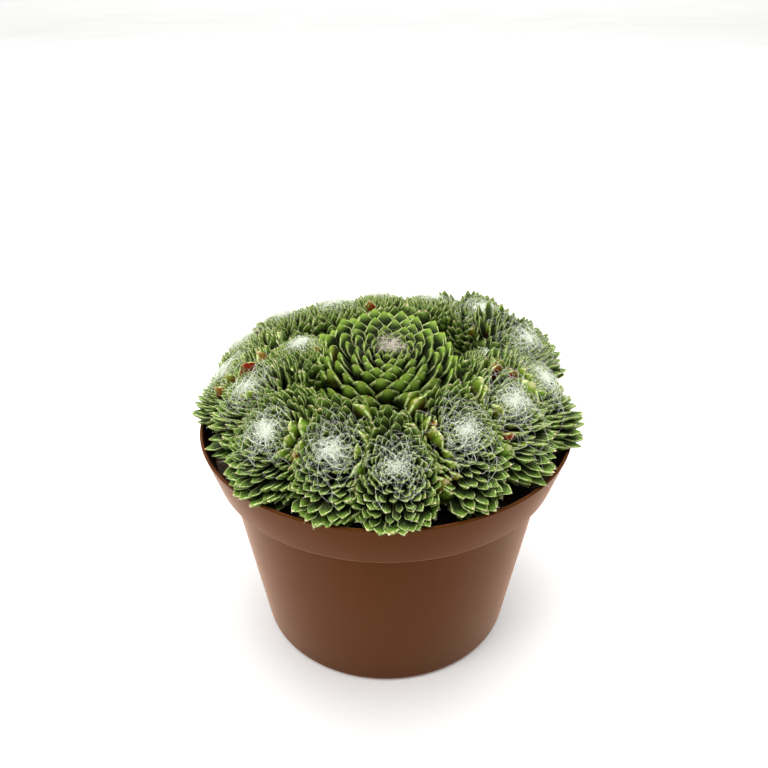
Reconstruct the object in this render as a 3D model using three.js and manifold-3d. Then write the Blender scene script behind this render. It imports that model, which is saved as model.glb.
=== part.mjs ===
// Hens and chicks: a cobweb houseleek with its ring of offsets, in a round nursery pot.
//
// Millimetres, +Z up. The pot's axis is the Z axis and its flat base stands on z = 0.
// Azimuths are degrees about Z from +X toward +Y, and the front of the pot faces -Y.
// Each plant is a short stem rooted in the potting mix with a rosette of leaves on it, and
// crowded rosettes are trimmed where they press on each other, so that none overlaps.

import * as THREE from 'three';
import { mergeVertices } from 'three/addons/utils/BufferGeometryUtils.js';
import Module from 'manifold-3d';

const wasm = await Module();
wasm.setup();

// ---------------------------------------------------------------- driving dimensions

const GAP = 0.3;               // clearance between two pieces that touch
const GOLDEN_ANGLE = 137.508;  // degrees between one leaf and the next
const SHOULDER_DROP = 5;       // a rosette's widest whorl lies this far below its middle
const CROWDING_REACH = 2.4;    // plants press on each other within this times their half widths
const BEYOND = 160;            // longer than any piece, for the boxes and wedges that cut

const POT = {
  rimRadius: 70,
  height: 88.5,
  collarHeight: 17,
  collarFootRadius: 64.9,
  shoulderRadius: 61.2,
  baseRadius: 50,
  baseRounding: 2.5,
  wall: 1.4,
  floor: 2,
  facets: 48,
};

const DRAIN = { count: 6, radius: 4, circleRadius: 33, depth: 8, facets: 8 };

const MIX = {
  depthAtWall: 10,    // surface below the rim, at the wall
  depthAtCentre: 2,   // and in the middle
  wallClearance: 0.5,
  rings: [0.7, 0.4, 0],  // radii of the surface's facets, as shares of its edge
};

const CHICK = {
  height: 18,           // from the underside of the crown to the middle of the web
  skirt: 13,            // the lowest leaves hang round a curve this deep below the widest whorl
  lowestTilt: -45,
  highestTilt: 60,
  leafCount: 17,        // on a chick of the usual width, and fewer on a narrow one
  usualSide: 15,
  lowestFoot: 2,
  leafWidth: 8,
  topLeafShare: 0.5,    // the top leaves are this share of the lowest ones' width
  leafThickness: 3,
  packedShare: 0.84,    // the packed leaf bases fill this share of the reach
  packedFacets: 8,
  stemRadius: 3,
};

const HEN = {
  x: 2,
  y: -7.5,
  crownHeight: 32.5,  // above the rim
  lean: 12,
  facing: -90,        // it leans toward the front
  height: 20,
  radius: 26,
  outerLeafCount: 13,
  outerLeaf: { reach: 26, rise: 15.5, foot: 3.2, width: 11, thickness: 3.6 },
  innerWhorls: [        // leaves above the outer whorl, lowest first
    { count: 11, reach: 21.5, rise: 16.2, foot: 8, width: 9, thickness: 3 },
    { count: 8, reach: 15.5, rise: 18.4, foot: 10, width: 8, thickness: 3 },
  ],
  heart: { radius: 9, bottom: 4.8, top: 20, facets: 10 },
  bowlLift: 2.2,        // the inner leaves keep this far above the outer leaves' middle line
  leafFootRadius: 2.7,
  stemRadius: 4.5,
};

// A leaf's outline: a narrow foot, the widest place at this share of its length, a point.
const LEAF = { footShare: 0.44, footRise: 0.04, widestAt: 0.66, facets: 4 };

const STEM = {
  rootedLength: 8,    // how far it goes into the mix
  socketDepth: 4,     // how far its top stands in the underside of the crown
  footShare: 0.9,     // the foot stands at this share of the crown's distance from the axis
  rootShare: 0.7,     // its rooted end and its top are thinner than its thickest place
  topShare: 0.8,
  thickestAt: 0.7,
  facets: 7,
};

const RUNNER = { radius: 1.2, sides: 5, steps: 5 };

// One row a chick: the middle of its web (azimuth, radius and height above the rim), its lean
// out from the vertical and the azimuth that it leans to, and how far its leaves reach to each
// side, outward down the slope, and inward up it.
const CHICKS = [
  { azimuth: -130, radius: 60, height: 21, lean: 44, facing: -124, side: 16, out: 25, back: 20 },
  { azimuth: -107, radius: 59.5, height: 21, lean: 46, facing: -105, side: 15, out: 26, back: 21 },
  { azimuth: -87.5, radius: 62, height: 18, lean: 48, facing: -88, side: 15, out: 25, back: 22 },
  { azimuth: -64, radius: 56.5, height: 24, lean: 43, facing: -66, side: 16, out: 30, back: 21 },
  { azimuth: -40, radius: 55, height: 26, lean: 41, facing: -44, side: 16, out: 29, back: 21 },
  { azimuth: -16, radius: 58, height: 24, lean: 38, facing: -18, side: 15, out: 25, back: 21 },
  { azimuth: 13.5, radius: 56, height: 26, lean: 28, facing: 5, side: 16, out: 21, back: 23 },
  { azimuth: 43, radius: 53.5, height: 29, lean: 8, facing: 20, side: 15, out: 20, back: 22 },
  { azimuth: 67, radius: 51.5, height: 29, lean: 12, facing: 67, side: 15, out: 18, back: 20 },
  { azimuth: 93, radius: 49, height: 29.5, lean: 13, facing: 93, side: 15, out: 19, back: 20 },
  { azimuth: 117, radius: 49, height: 28, lean: 9, facing: 130, side: 15, out: 19, back: 20 },
  { azimuth: 139.5, radius: 56, height: 26, lean: 16, facing: 150, side: 15, out: 17, back: 21 },
  { azimuth: 160.5, radius: 61, height: 21.5, lean: 32, facing: 170, side: 14, out: 15, back: 20 },
  { azimuth: -177.5, radius: 60, height: 20.5, lean: 40, facing: -177, side: 14, out: 20, back: 18 },
  { azimuth: -151.5, radius: 54, height: 26, lean: 38, facing: -150, side: 15, out: 23, back: 20 },
  { azimuth: -174, radius: 31, height: 32, lean: 14, facing: -170, side: 15, out: 16, back: 15 },
  { azimuth: 6, radius: 38, height: 24, lean: 10, facing: -20, side: 10, out: 10, back: 10 },
  { azimuth: 82, radius: 30, height: 25, lean: 6, facing: 80, side: 10, out: 10, back: 10 },
];

// The chicks, by number, that a runner still joins to the hen.
const RUNNERS_TO = [2, 4, 6, 8, 10, 16];

const PLASTIC = { color: 0x6a4430, roughness: 0.5, metalness: 0 };
const SOIL = { color: 0x2b211b, roughness: 0.95, metalness: 0 };
const STEM_SKIN = { color: 0x6e5a38, roughness: 0.8, metalness: 0 };
const RUNNER_SKIN = { color: 0x8a6a48, roughness: 0.7, metalness: 0 };
const HEN_LEAF = { color: 0x5d8438, roughness: 0.5, metalness: 0 };
const CHICK_LEAF = { color: 0x8ea27c, roughness: 0.65, metalness: 0 };

// ---------------------------------------------------------------- solids

const radians = THREE.MathUtils.degToRad;
const at = (x, y, z) => new THREE.Vector3(x, y, z);

/** A manifold solid with the shape of a closed three.js geometry, moved by a matrix. */
function solidOf(geometry, matrix) {
  const bare = geometry.index ? geometry.clone() : mergeVertices(geometry);
  bare.deleteAttribute('normal');
  bare.deleteAttribute('uv');
  if (matrix) bare.applyMatrix4(matrix);
  const merged = mergeVertices(bare, 1e-4);
  const corners = merged.index.array;
  const triangles = [];
  for (let i = 0; i < corners.length; i += 3) {
    const [a, b, c] = [corners[i], corners[i + 1], corners[i + 2]];
    if (a !== b && b !== c && c !== a) triangles.push(a, b, c);
  }
  return new wasm.Manifold(new wasm.Mesh({
    numProp: 3,
    vertProperties: new Float32Array(merged.attributes.position.array),
    triVerts: new Uint32Array(triangles),
  }));
}

/** The largest body of a solid: a cut can leave a crumb of a leaf tip beside it. */
function largestBody(solid) {
  const bodies = solid.decompose();
  return bodies.reduce((best, body) => (body.volume() > best.volume() ? body : best));
}

/** A named mesh of a solid, with its own material. Its origin and axes are those of `place`. */
function meshOf(name, solid, finish, place = new THREE.Matrix4()) {
  const { vertProperties, triVerts } = solid.getMesh();
  const geometry = new THREE.BufferGeometry();
  geometry.setAttribute('position', new THREE.Float32BufferAttribute(vertProperties, 3));
  geometry.setIndex(Array.from(triVerts));
  geometry.applyMatrix4(place.clone().invert());
  geometry.computeVertexNormals();
  const mesh = new THREE.Mesh(geometry, new THREE.MeshStandardMaterial(finish));
  mesh.name = name;
  mesh.applyMatrix4(place);
  return mesh;
}

/** A shape turned about Y from a profile of [radius, height] pairs that runs up its outside. */
function lathe(profile, facets) {
  return new THREE.LatheGeometry(profile.map(([r, y]) => new THREE.Vector2(r, y)), facets);
}

/** A solid turned about Z from such a profile. */
function turned(profile, facets) {
  return solidOf(lathe(profile, facets).rotateX(Math.PI / 2));
}

// ---------------------------------------------------------------- pot and potting mix

/** Outer radius of the pot's tapering body at a height. */
function bodyRadius(z) {
  const top = POT.height - POT.collarHeight;
  return THREE.MathUtils.lerp(POT.baseRadius, POT.shoulderRadius, z / top);
}

/** Outer radius of the flared collar at a height. */
function collarRadius(z) {
  const share = (z - POT.height + POT.collarHeight) / POT.collarHeight;
  return THREE.MathUtils.lerp(POT.collarFootRadius, POT.rimRadius, share);
}

/** Height of the potting mix at a distance from the pot's axis. */
function mixHeight(radius) {
  const share = radius / POT.collarFootRadius;
  return POT.height - THREE.MathUtils.lerp(MIX.depthAtCentre, MIX.depthAtWall, share * share);
}

/** The collar alone, fatter all round by `swell`, to clear the leaves that hang over it. */
function makeRim(swell) {
  const step = POT.height - POT.collarHeight;
  const profile = [
    [POT.collarFootRadius - POT.wall - swell, step],
    [POT.collarFootRadius + swell, step],
    [POT.rimRadius + swell, POT.height - POT.wall / 2],
    [POT.rimRadius - POT.wall / 2, POT.height + swell],
    [POT.rimRadius - POT.wall - swell, POT.height - POT.wall / 2],
  ];
  return turned([...profile, profile[0]], POT.facets);
}

function makePot() {
  const step = POT.height - POT.collarHeight;
  const round = POT.baseRounding;
  const profile = [[0, 0]];
  for (const turn of [0, 45, 90]) {
    const across = POT.baseRadius - round + round * Math.sin(radians(turn));
    profile.push([across, round - round * Math.cos(radians(turn))]);
  }
  profile.push(
    [POT.shoulderRadius, step],
    [POT.collarFootRadius, step],
    [POT.rimRadius, POT.height - POT.wall / 2],
    [POT.rimRadius - POT.wall / 2, POT.height],
    [POT.rimRadius - POT.wall, POT.height - POT.wall / 2],
    [POT.collarFootRadius - POT.wall, step + POT.wall],
    [POT.shoulderRadius - POT.wall, step],
    [bodyRadius(POT.floor) - POT.wall, POT.floor],
    [0, POT.floor],
  );
  let pot = turned(profile, POT.facets);
  for (let i = 0; i < DRAIN.count; i += 1) {
    const angle = radians((i + 0.5) * 360 / DRAIN.count);
    const { radius, depth, facets } = DRAIN;
    const hole = new THREE.CylinderGeometry(radius, radius, depth, facets);
    hole.rotateX(Math.PI / 2);
    hole.translate(DRAIN.circleRadius * Math.cos(angle), DRAIN.circleRadius * Math.sin(angle), 0);
    pot = pot.subtract(solidOf(hole));
  }
  return pot;
}

/** The plug of potting mix. `swell` makes it fatter all round, to clear what stands on it. */
function makeMix(swell = 0) {
  const step = POT.height - POT.collarHeight;
  const inset = POT.wall + MIX.wallClearance - swell;
  const bottom = POT.floor + GAP - swell;
  const rimOfMix = POT.height - MIX.depthAtWall;
  const edge = collarRadius(rimOfMix) - inset;
  const profile = [
    [0, bottom],
    [bodyRadius(bottom) - inset, bottom],
    [POT.shoulderRadius - inset, step],
    [POT.collarFootRadius - inset, step + POT.wall + MIX.wallClearance],
    [edge, rimOfMix],
  ];
  for (const share of MIX.rings) {
    profile.push([edge * share, mixHeight(edge * share) + swell]);
  }
  return turned(profile, POT.facets);
}

// ---------------------------------------------------------------- places of the plants

/** The matrix of a rosette: its origin is the underside of the crown, Z its axis, X downhill. */
function crownPlace(middle, lean, facing, height) {
  const heading = at(Math.cos(radians(facing)), Math.sin(radians(facing)), 0);
  const axis = heading.clone().multiplyScalar(Math.sin(radians(lean)));
  axis.z = Math.cos(radians(lean));
  const downhill = heading.clone().multiplyScalar(Math.cos(radians(lean)));
  downhill.z = -Math.sin(radians(lean));
  const side = new THREE.Vector3().crossVectors(axis, downhill);
  const origin = middle.clone().addScaledVector(axis, -height);
  return new THREE.Matrix4().makeBasis(downhill, side, axis).setPosition(origin);
}

/** The line of a stem, from its rooted end in the mix to its top inside the crown. */
function stemLine(place) {
  const crown = new THREE.Vector3().setFromMatrixPosition(place);
  const axis = new THREE.Vector3().setFromMatrixColumn(place, 2);
  const foot = crown.clone().multiplyScalar(STEM.footShare);
  foot.z = mixHeight(Math.hypot(foot.x, foot.y));
  const rise = crown.clone().sub(foot).normalize();
  const root = foot.clone().addScaledVector(rise, -STEM.rootedLength);
  const top = crown.clone().addScaledVector(axis, STEM.socketDepth);
  return { root, foot, top };
}

/** One plant: where its rosette and stem stand, and the share of the room that it takes. */
function plantAt(name, middle, { lean, facing, height, halfWidth, stemRadius }) {
  const place = crownPlace(middle, lean, facing, height);
  const axis = new THREE.Vector3().setFromMatrixColumn(place, 2);
  const hub = middle.clone().addScaledVector(axis, -SHOULDER_DROP);
  return { name, place, hub, halfWidth, stemRadius, stem: stemLine(place) };
}

function makeHenPlant() {
  const middle = at(HEN.x, HEN.y, POT.height + HEN.crownHeight);
  return plantAt('hen', middle, { ...HEN, halfWidth: HEN.radius });
}

function makeChickPlant(row, index) {
  const { height, stemRadius } = CHICK;
  const across = row.radius * Math.cos(radians(row.azimuth));
  const away = row.radius * Math.sin(radians(row.azimuth));
  const middle = at(across, away, POT.height + row.height);
  const name = `chick_${String(index + 1).padStart(2, '0')}`;
  return { row, ...plantAt(name, middle, { ...row, height, stemRadius, halfWidth: row.side }) };
}

// ---------------------------------------------------------------- stems and runners

/** A tapering stem along a line. `swell` makes it fatter all round, for sockets. */
function makeStem({ stem, stemRadius }, swell = 0) {
  const line = stem.top.clone().sub(stem.root);
  const length = line.length();
  const profile = [
    [0, -swell],
    [stemRadius * STEM.rootShare + swell, -swell],
    [stemRadius + swell, length * STEM.thickestAt],
    [stemRadius * STEM.topShare + swell, length + swell],
    [0, length + swell],
  ];
  const geometry = lathe(profile, STEM.facets);
  const turn = new THREE.Quaternion().setFromUnitVectors(at(0, 1, 0), line.normalize());
  const matrix = new THREE.Matrix4().compose(stem.root, turn, at(1, 1, 1));
  return solidOf(geometry, matrix);
}

/** A runner lying on the mix from the hen's foot to a chick's. `swell` makes it fatter. */
function makeRunner(from, to, swell = 0) {
  const points = [];
  for (let i = 0; i <= RUNNER.steps; i += 1) {
    const point = from.clone().lerp(to, i / RUNNER.steps);
    points.push(point.setZ(mixHeight(Math.hypot(point.x, point.y)) + RUNNER.radius + GAP));
  }
  const outline = [];
  for (let i = 0; i < RUNNER.sides; i += 1) {
    const angle = i * 2 * Math.PI / RUNNER.sides;
    outline.push(new THREE.Vector2(Math.cos(angle), Math.sin(angle)));
    outline[i].multiplyScalar(RUNNER.radius + swell);
  }
  const geometry = new THREE.ExtrudeGeometry(new THREE.Shape(outline), {
    steps: RUNNER.steps,
    extrudePath: new THREE.CatmullRomCurve3(points),
  });
  return solidOf(geometry);
}

// ---------------------------------------------------------------- leaves and rosettes

/** One leaf from its foot to its tip: narrow at the foot, widest past the middle, pointed. */
function makeLeaf(foot, tip, side, width, thickness) {
  const line = tip.clone().sub(foot);
  const length = line.length();
  const profile = [
    [0, 0],
    [width / 2 * LEAF.footShare, length * LEAF.footRise],
    [width / 2, length * LEAF.widestAt],
    [0, length],
  ];
  const geometry = lathe(profile, LEAF.facets);
  geometry.scale(1, 1, thickness / width);
  const along = line.normalize();
  const across = side.clone().addScaledVector(along, -side.dot(along)).normalize();
  const through = new THREE.Vector3().crossVectors(across, along);
  const matrix = new THREE.Matrix4().makeBasis(across, along, through).setPosition(foot);
  return solidOf(geometry, matrix);
}

/** A leaf of a rosette, in the rosette's own frame, at an angle round its axis. */
function makeRosetteLeaf(angle, footRadius, { reach, rise, foot, width, thickness }) {
  const heading = at(Math.cos(angle), Math.sin(angle), 0);
  const start = heading.clone().multiplyScalar(footRadius).setZ(foot);
  const tip = heading.clone().multiplyScalar(reach).setZ(rise);
  return makeLeaf(start, tip, at(-Math.sin(angle), Math.cos(angle), 0), width, thickness);
}

/** How far a chick's widest whorl reaches at an angle from the downhill side. */
function chickReach(row, angle) {
  const long = Math.cos(angle) > 0 ? row.out : row.back;
  return 1 / Math.hypot(Math.cos(angle) / long, Math.sin(angle) / row.side);
}

/** All leaves of a chick as one body, in the rosette's own frame. */
function makeChickLeaves(row) {
  const shoulder = CHICK.height - SHOULDER_DROP;
  const packed = new THREE.SphereGeometry(1, CHICK.packedFacets, CHICK.packedFacets / 2);
  packed.rotateX(Math.PI / 2);
  packed.scale((row.out + row.back) / 2, row.side, CHICK.height / 2);
  packed.translate((row.out - row.back) / 2, 0, CHICK.height / 2);
  packed.scale(CHICK.packedShare, CHICK.packedShare, 1);
  let rosette = solidOf(packed);
  const lowest = Math.sin(radians(CHICK.lowestTilt));
  const highest = Math.sin(radians(CHICK.highestTilt));
  const count = Math.round(CHICK.leafCount * Math.min(1, row.side / CHICK.usualSide));
  for (let i = 0; i < count; i += 1) {
    const share = i / (count - 1);
    const tilt = Math.asin(THREE.MathUtils.lerp(lowest, highest, share));
    const angle = radians(i * GOLDEN_ANGLE);
    const depth = tilt > 0 ? SHOULDER_DROP : CHICK.skirt;
    const leaf = {
      reach: chickReach(row, angle) * Math.cos(tilt),
      rise: shoulder + depth * Math.sin(tilt),
      foot: THREE.MathUtils.lerp(CHICK.lowestFoot, shoulder, share),
      width: CHICK.leafWidth * THREE.MathUtils.lerp(1, CHICK.topLeafShare, share),
      thickness: CHICK.leafThickness,
    };
    rosette = rosette.add(makeRosetteLeaf(angle, CHICK.stemRadius, leaf));
  }
  return rosette;
}

/** The flared bowl that parts the hen's inner leaves, inside it, from the outer whorl below. */
function makeHenBowl(swell) {
  const { rise, foot, reach } = HEN.outerLeaf;
  const low = foot + HEN.bowlLift - swell;
  const high = low + BEYOND * (rise - foot) / reach;
  return turned([[0, low], [BEYOND, high], [BEYOND, high + BEYOND], [0, high + BEYOND]], POT.facets);
}

/** The hen's inner leaves and heart as one body, in the rosette's own frame. */
function makeHenInnerLeaves() {
  const { radius, bottom, top, facets } = HEN.heart;
  const heart = new THREE.SphereGeometry(1, facets, facets / 2);
  heart.rotateX(Math.PI / 2);
  heart.scale(radius, radius, (top - bottom) / 2);
  heart.translate(0, 0, (top + bottom) / 2);
  let rosette = solidOf(heart);
  HEN.innerWhorls.forEach((whorl, tier) => {
    for (let i = 0; i < whorl.count; i += 1) {
      const angle = (i + tier / 2) * 2 * Math.PI / whorl.count;
      rosette = rosette.add(makeRosetteLeaf(angle, HEN.leafFootRadius, whorl));
    }
  });
  return rosette.intersect(makeHenBowl(-GAP / 2));
}

/** The wedge between two neighbours of the outer whorl, with its edge on the hen's axis. */
function makeHenSector(angle) {
  const half = Math.PI / HEN.outerLeafCount;
  const inset = GAP / 2 / Math.sin(half);
  const wedge = new THREE.Shape([
    new THREE.Vector2(inset, 0),
    new THREE.Vector2(inset + BEYOND, -BEYOND * Math.tan(half)),
    new THREE.Vector2(inset + BEYOND, BEYOND * Math.tan(half)),
  ]);
  const geometry = new THREE.ExtrudeGeometry(wedge, { depth: BEYOND, bevelEnabled: false });
  geometry.translate(0, 0, -BEYOND / 2);
  geometry.rotateZ(angle);
  return solidOf(geometry);
}

// ---------------------------------------------------------------- crowding

/** Cuts a rosette back to the face where it presses on its neighbour. */
function trimAgainst(solid, plant, neighbour) {
  const line = neighbour.hub.clone().sub(plant.hub);
  const apart = line.length();
  const face = (apart ** 2 + plant.halfWidth ** 2 - neighbour.halfWidth ** 2) / (2 * apart);
  const box = new THREE.BoxGeometry(BEYOND, BEYOND, BEYOND);
  const turn = new THREE.Quaternion().setFromUnitVectors(at(0, 0, 1), line.normalize());
  const centre = plant.hub.clone().addScaledVector(line, face - GAP / 2 + BEYOND / 2);
  return solid.subtract(solidOf(box, new THREE.Matrix4().compose(centre, turn, at(1, 1, 1))));
}

/** Trims a piece of a plant clear of everything round it and keeps its main body. */
function settle(solid, plant, plants, keepClear) {
  let trimmed = solid.transform(plant.place.toArray());
  for (const neighbour of plants) {
    const apart = plant.hub.distanceTo(neighbour.hub);
    const crowded = apart < CROWDING_REACH * (plant.halfWidth + neighbour.halfWidth);
    if (neighbour !== plant && crowded) trimmed = trimAgainst(trimmed, plant, neighbour);
  }
  for (const other of keepClear) trimmed = trimmed.subtract(other);
  return largestBody(trimmed);
}

// ---------------------------------------------------------------- assembly

const hensAndChicks = new THREE.Group();

const hen = makeHenPlant();
const chicks = CHICKS.map(makeChickPlant);
const plants = [hen, ...chicks];

const stemSockets = plants.map((plant) => makeStem(plant, GAP));
const runnerEnds = RUNNERS_TO.map((number) => [hen.stem.foot, chicks[number - 1].stem.foot]);

let mix = makeMix();
for (const socket of stemSockets) mix = mix.subtract(socket);

hensAndChicks.add(meshOf('pot', makePot(), PLASTIC));
hensAndChicks.add(meshOf('potting_mix', largestBody(mix), SOIL));

for (const plant of plants) {
  hensAndChicks.add(meshOf(`${plant.name}_stem`, makeStem(plant), STEM_SKIN));
}

runnerEnds.forEach(([from, to], index) => {
  let runner = makeRunner(from, to);
  for (const socket of stemSockets) runner = runner.subtract(socket);
  const name = `runner_to_${chicks[RUNNERS_TO[index] - 1].name}`;
  hensAndChicks.add(meshOf(name, largestBody(runner), RUNNER_SKIN));
});

const runnerGuards = runnerEnds.map(([from, to]) => makeRunner(from, to, GAP));
const keepClear = [makeMix(GAP), makeRim(GAP), ...stemSockets, ...runnerGuards];

const henInner = settle(makeHenInnerLeaves(), hen, plants, keepClear);
hensAndChicks.add(meshOf('hen_inner_leaves', henInner, HEN_LEAF, hen.place));

const outerBowl = makeHenBowl(GAP / 2);
for (let i = 0; i < HEN.outerLeafCount; i += 1) {
  const angle = i * 2 * Math.PI / HEN.outerLeafCount;
  const leaf = makeRosetteLeaf(angle, HEN.leafFootRadius, HEN.outerLeaf)
    .intersect(makeHenSector(angle))
    .subtract(outerBowl);
  const name = `hen_outer_leaf_${String(i + 1).padStart(2, '0')}`;
  hensAndChicks.add(meshOf(name, settle(leaf, hen, plants, keepClear), HEN_LEAF, hen.place));
}

for (const chick of chicks) {
  const leaves = settle(makeChickLeaves(chick.row), chick, plants, keepClear);
  hensAndChicks.add(meshOf(`${chick.name}_leaves`, leaves, CHICK_LEAF, chick.place));
}

export default hensAndChicks;
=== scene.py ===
# %% [markdown]
# # Hens and chicks in a nursery pot
# A cobweb houseleek: one large green rosette, the hen, in a crowd of smaller ones, its chicks.
# White hairs run from leaf tip to leaf tip on every chick and lie on it like a cobweb. This
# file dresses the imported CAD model, one piece after another. Everything is in metres, in the
# CAD model's own frame: the pot's axis is Z, its base stands on z = 0, and its front faces -Y.

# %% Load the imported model
import functools
import math

import bmesh
import bpy
import numpy as np
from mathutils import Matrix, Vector


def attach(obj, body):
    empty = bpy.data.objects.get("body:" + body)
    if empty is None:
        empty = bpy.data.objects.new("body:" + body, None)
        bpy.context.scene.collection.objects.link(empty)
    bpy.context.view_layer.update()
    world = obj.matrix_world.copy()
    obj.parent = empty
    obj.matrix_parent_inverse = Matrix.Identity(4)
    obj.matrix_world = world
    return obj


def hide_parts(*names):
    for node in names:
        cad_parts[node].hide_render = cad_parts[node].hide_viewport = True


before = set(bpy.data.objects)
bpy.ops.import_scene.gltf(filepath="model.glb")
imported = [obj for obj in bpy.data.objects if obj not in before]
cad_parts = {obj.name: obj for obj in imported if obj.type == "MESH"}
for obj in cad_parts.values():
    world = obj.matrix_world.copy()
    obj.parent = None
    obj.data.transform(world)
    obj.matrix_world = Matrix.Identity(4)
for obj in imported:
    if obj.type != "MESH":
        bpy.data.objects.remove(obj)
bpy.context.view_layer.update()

MM = 0.001

# %% [markdown]
# ## Measures and the places of the plants
# The looks have to stand exactly where the CAD solids stand, so this table repeats the CAD
# model's own numbers. A plant's place is the middle of its web: azimuth, distance from the
# pot's axis and height above the rim, then how far it leans out and where to, and how far its
# leaves reach to each side, outward down the slope, and inward up it.

# %% The plants, in millimetres and degrees
RIM_HEIGHT = 88.5
CHICKS = {
    #  azimuth, radius, height, lean, facing, side, out, back
    1: (-130, 60, 21, 44, -124, 16, 25, 20),
    2: (-107, 59.5, 21, 46, -105, 15, 26, 21),
    3: (-87.5, 62, 18, 48, -88, 15, 25, 22),
    4: (-64, 56.5, 24, 43, -66, 16, 30, 21),
    5: (-40, 55, 26, 41, -44, 16, 29, 21),
    6: (-16, 58, 24, 38, -18, 15, 25, 21),
    7: (13.5, 56, 26, 28, 5, 16, 21, 23),
    8: (43, 53.5, 29, 8, 20, 15, 20, 22),
    9: (67, 51.5, 29, 12, 67, 15, 18, 20),
    10: (93, 49, 29.5, 13, 93, 15, 19, 20),
    11: (117, 49, 28, 9, 130, 15, 19, 20),
    12: (139.5, 56, 26, 16, 150, 15, 17, 21),
    13: (160.5, 61, 21.5, 32, 170, 14, 15, 20),
    14: (-177.5, 60, 20.5, 40, -177, 14, 20, 18),
    15: (-151.5, 54, 26, 38, -150, 15, 23, 20),
    16: (-174, 31, 32, 14, -170, 15, 16, 15),
    17: (6, 38, 24, 10, -20, 10, 10, 10),
    18: (82, 30, 25, 6, 80, 10, 10, 10),
}
RUNNERS_TO = [2, 4, 6, 8, 10, 16]
CHICK_HEIGHT = 18       # from the underside of the crown to the middle of the web
CHICK_STEM_RADIUS = 3
HEN_MIDDLE = (2, -7.5, RIM_HEIGHT + 32.5)
HEN_SIZES = {"lean": 12, "facing": -90, "height": 20, "side": 26, "out": 26, "back": 26}
HEN_STEM_RADIUS = 4.5
SHOULDER_DROP = 5       # the widest whorl lies this far below the middle
TURNED = {7: (32, -38), 8: (13, -50)}    # lean and facing of two heads that turned on their stems


def unit(vector):
    return vector / np.linalg.norm(vector)


def polar(azimuth, radius=1.0, height=0.0):
    turn = math.radians(azimuth)
    return np.array([radius * math.cos(turn), radius * math.sin(turn), height])


def plant(middle, lean, facing, height, side, out, back, stem_radius):
    """A plant's own frame and sizes, in metres: its axis, its downhill side and its crown."""
    tilt = math.radians(lean)
    heading = polar(facing)
    axis = math.sin(tilt) * heading + np.array([0, 0, math.cos(tilt)])
    downhill = math.cos(tilt) * heading - np.array([0, 0, math.sin(tilt)])
    middle = np.asarray(middle) * MM
    return {
        "middle": middle, "axis": axis, "downhill": downhill, "side": np.cross(axis, downhill),
        "crown": middle - axis * height * MM, "hub": middle - axis * SHOULDER_DROP * MM,
        "height": height * MM, "half_width": side * MM, "out": out * MM, "back": back * MM,
        "stem_radius": stem_radius * MM,
    }


PLANTS = {"hen": plant(HEN_MIDDLE, stem_radius=HEN_STEM_RADIUS, **HEN_SIZES)}
for number, (azimuth, radius, height, lean, facing, side, out, back) in CHICKS.items():
    middle = polar(azimuth, radius, RIM_HEIGHT + height)
    sizes = (CHICK_HEIGHT, side, out, back, CHICK_STEM_RADIUS)
    here = plant(middle, lean, facing, *sizes)
    turned = plant(middle, *TURNED.get(number, (lean, facing)), *sizes)
    here.update({part: turned[part] for part in ("axis", "downhill", "side")})
    PLANTS[f"chick_{number:02d}"] = here
for number, here in enumerate(PLANTS.values()):
    here["number"] = number    # the hen is 0
print(len(PLANTS), "plants")

# %% [markdown]
# ## Camera
# A close camera looks down at the pot by 28 degrees. At this short distance the rim opens
# wider than the base, and the front chicks are seen almost face on.


# %% The camera
def link(name, data):
    """Puts an object with this data in the scene."""
    made = bpy.data.objects.new(name, data)
    bpy.context.scene.collection.objects.link(made)
    return made


camera_data = bpy.data.cameras.new("Camera")
camera_data.sensor_width = 36
camera_data.lens = 35.95
camera = link("Camera", camera_data)
camera.location = (-0.0015, -0.253, 0.2383)
camera.rotation_euler = (math.radians(61.6), 0, math.radians(-0.17))
bpy.context.scene.camera = camera
print("camera at", tuple(round(v, 4) for v in camera.location))

# %% [markdown]
# ## Node helpers
# Most of what follows is node trees: Geometry Nodes that grow the plants, and shader nodes for
# their skins. These helpers keep the trees readable. `add` places one node, and a `Field` wraps
# what comes out of a node, so that a sum of two fields places the Math node by itself.


# %% Nodes that read like arithmetic
def add(tree, kind, *values, out=0, **options):
    """Places a node, sets its options and its inputs in order, and returns one of its outputs."""
    made = tree.nodes.new(kind)
    for option, value in options.items():
        setattr(made, option, value)
    for socket, value in zip([s for s in made.inputs if s.enabled], values):
        if isinstance(value, Field):
            tree.links.new(value.socket, socket)
        elif value is not None:
            socket.default_value = value
    return Field(tree, [s for s in made.outputs if s.enabled][out])


class Field:
    """A value in a node tree. Adding or scaling fields places the nodes that do it."""

    def __init__(self, tree, socket):
        self.tree, self.socket = tree, socket

    def also(self, name):
        """Another output of the same node."""
        return Field(self.tree, self.socket.node.outputs[name])

    def maths(self, operation, *values):
        if self.socket.type in ("VECTOR", "RGBA"):
            return add(self.tree, "ShaderNodeVectorMath", self, *values, operation=operation)
        return add(self.tree, "ShaderNodeMath", self, *values, operation=operation)

    def __mul__(self, other):
        return self.maths("SCALE" if self.socket.type == "VECTOR" else "MULTIPLY", other)

    def __rsub__(self, other):
        return self * -1.0 + other

    def mapped(self, low, high, to_low=0.0, to_high=1.0, smooth=False):
        """The field with low..high moved to to_low..to_high, and held there past either end."""
        ease = "SMOOTHSTEP" if smooth else "LINEAR"
        return add(self.tree, "ShaderNodeMapRange", self, low, high, to_low, to_high,
                   interpolation_type=ease)

    def blend(self, low, high):
        """Mixes two numbers, vectors or colours: low where the field is 0, high where it is 1."""
        kind = low.socket.type if isinstance(low, Field) else "RGBA"
        return add(self.tree, "ShaderNodeMix", self, low, high,
                   data_type="FLOAT" if kind == "VALUE" else kind)


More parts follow.
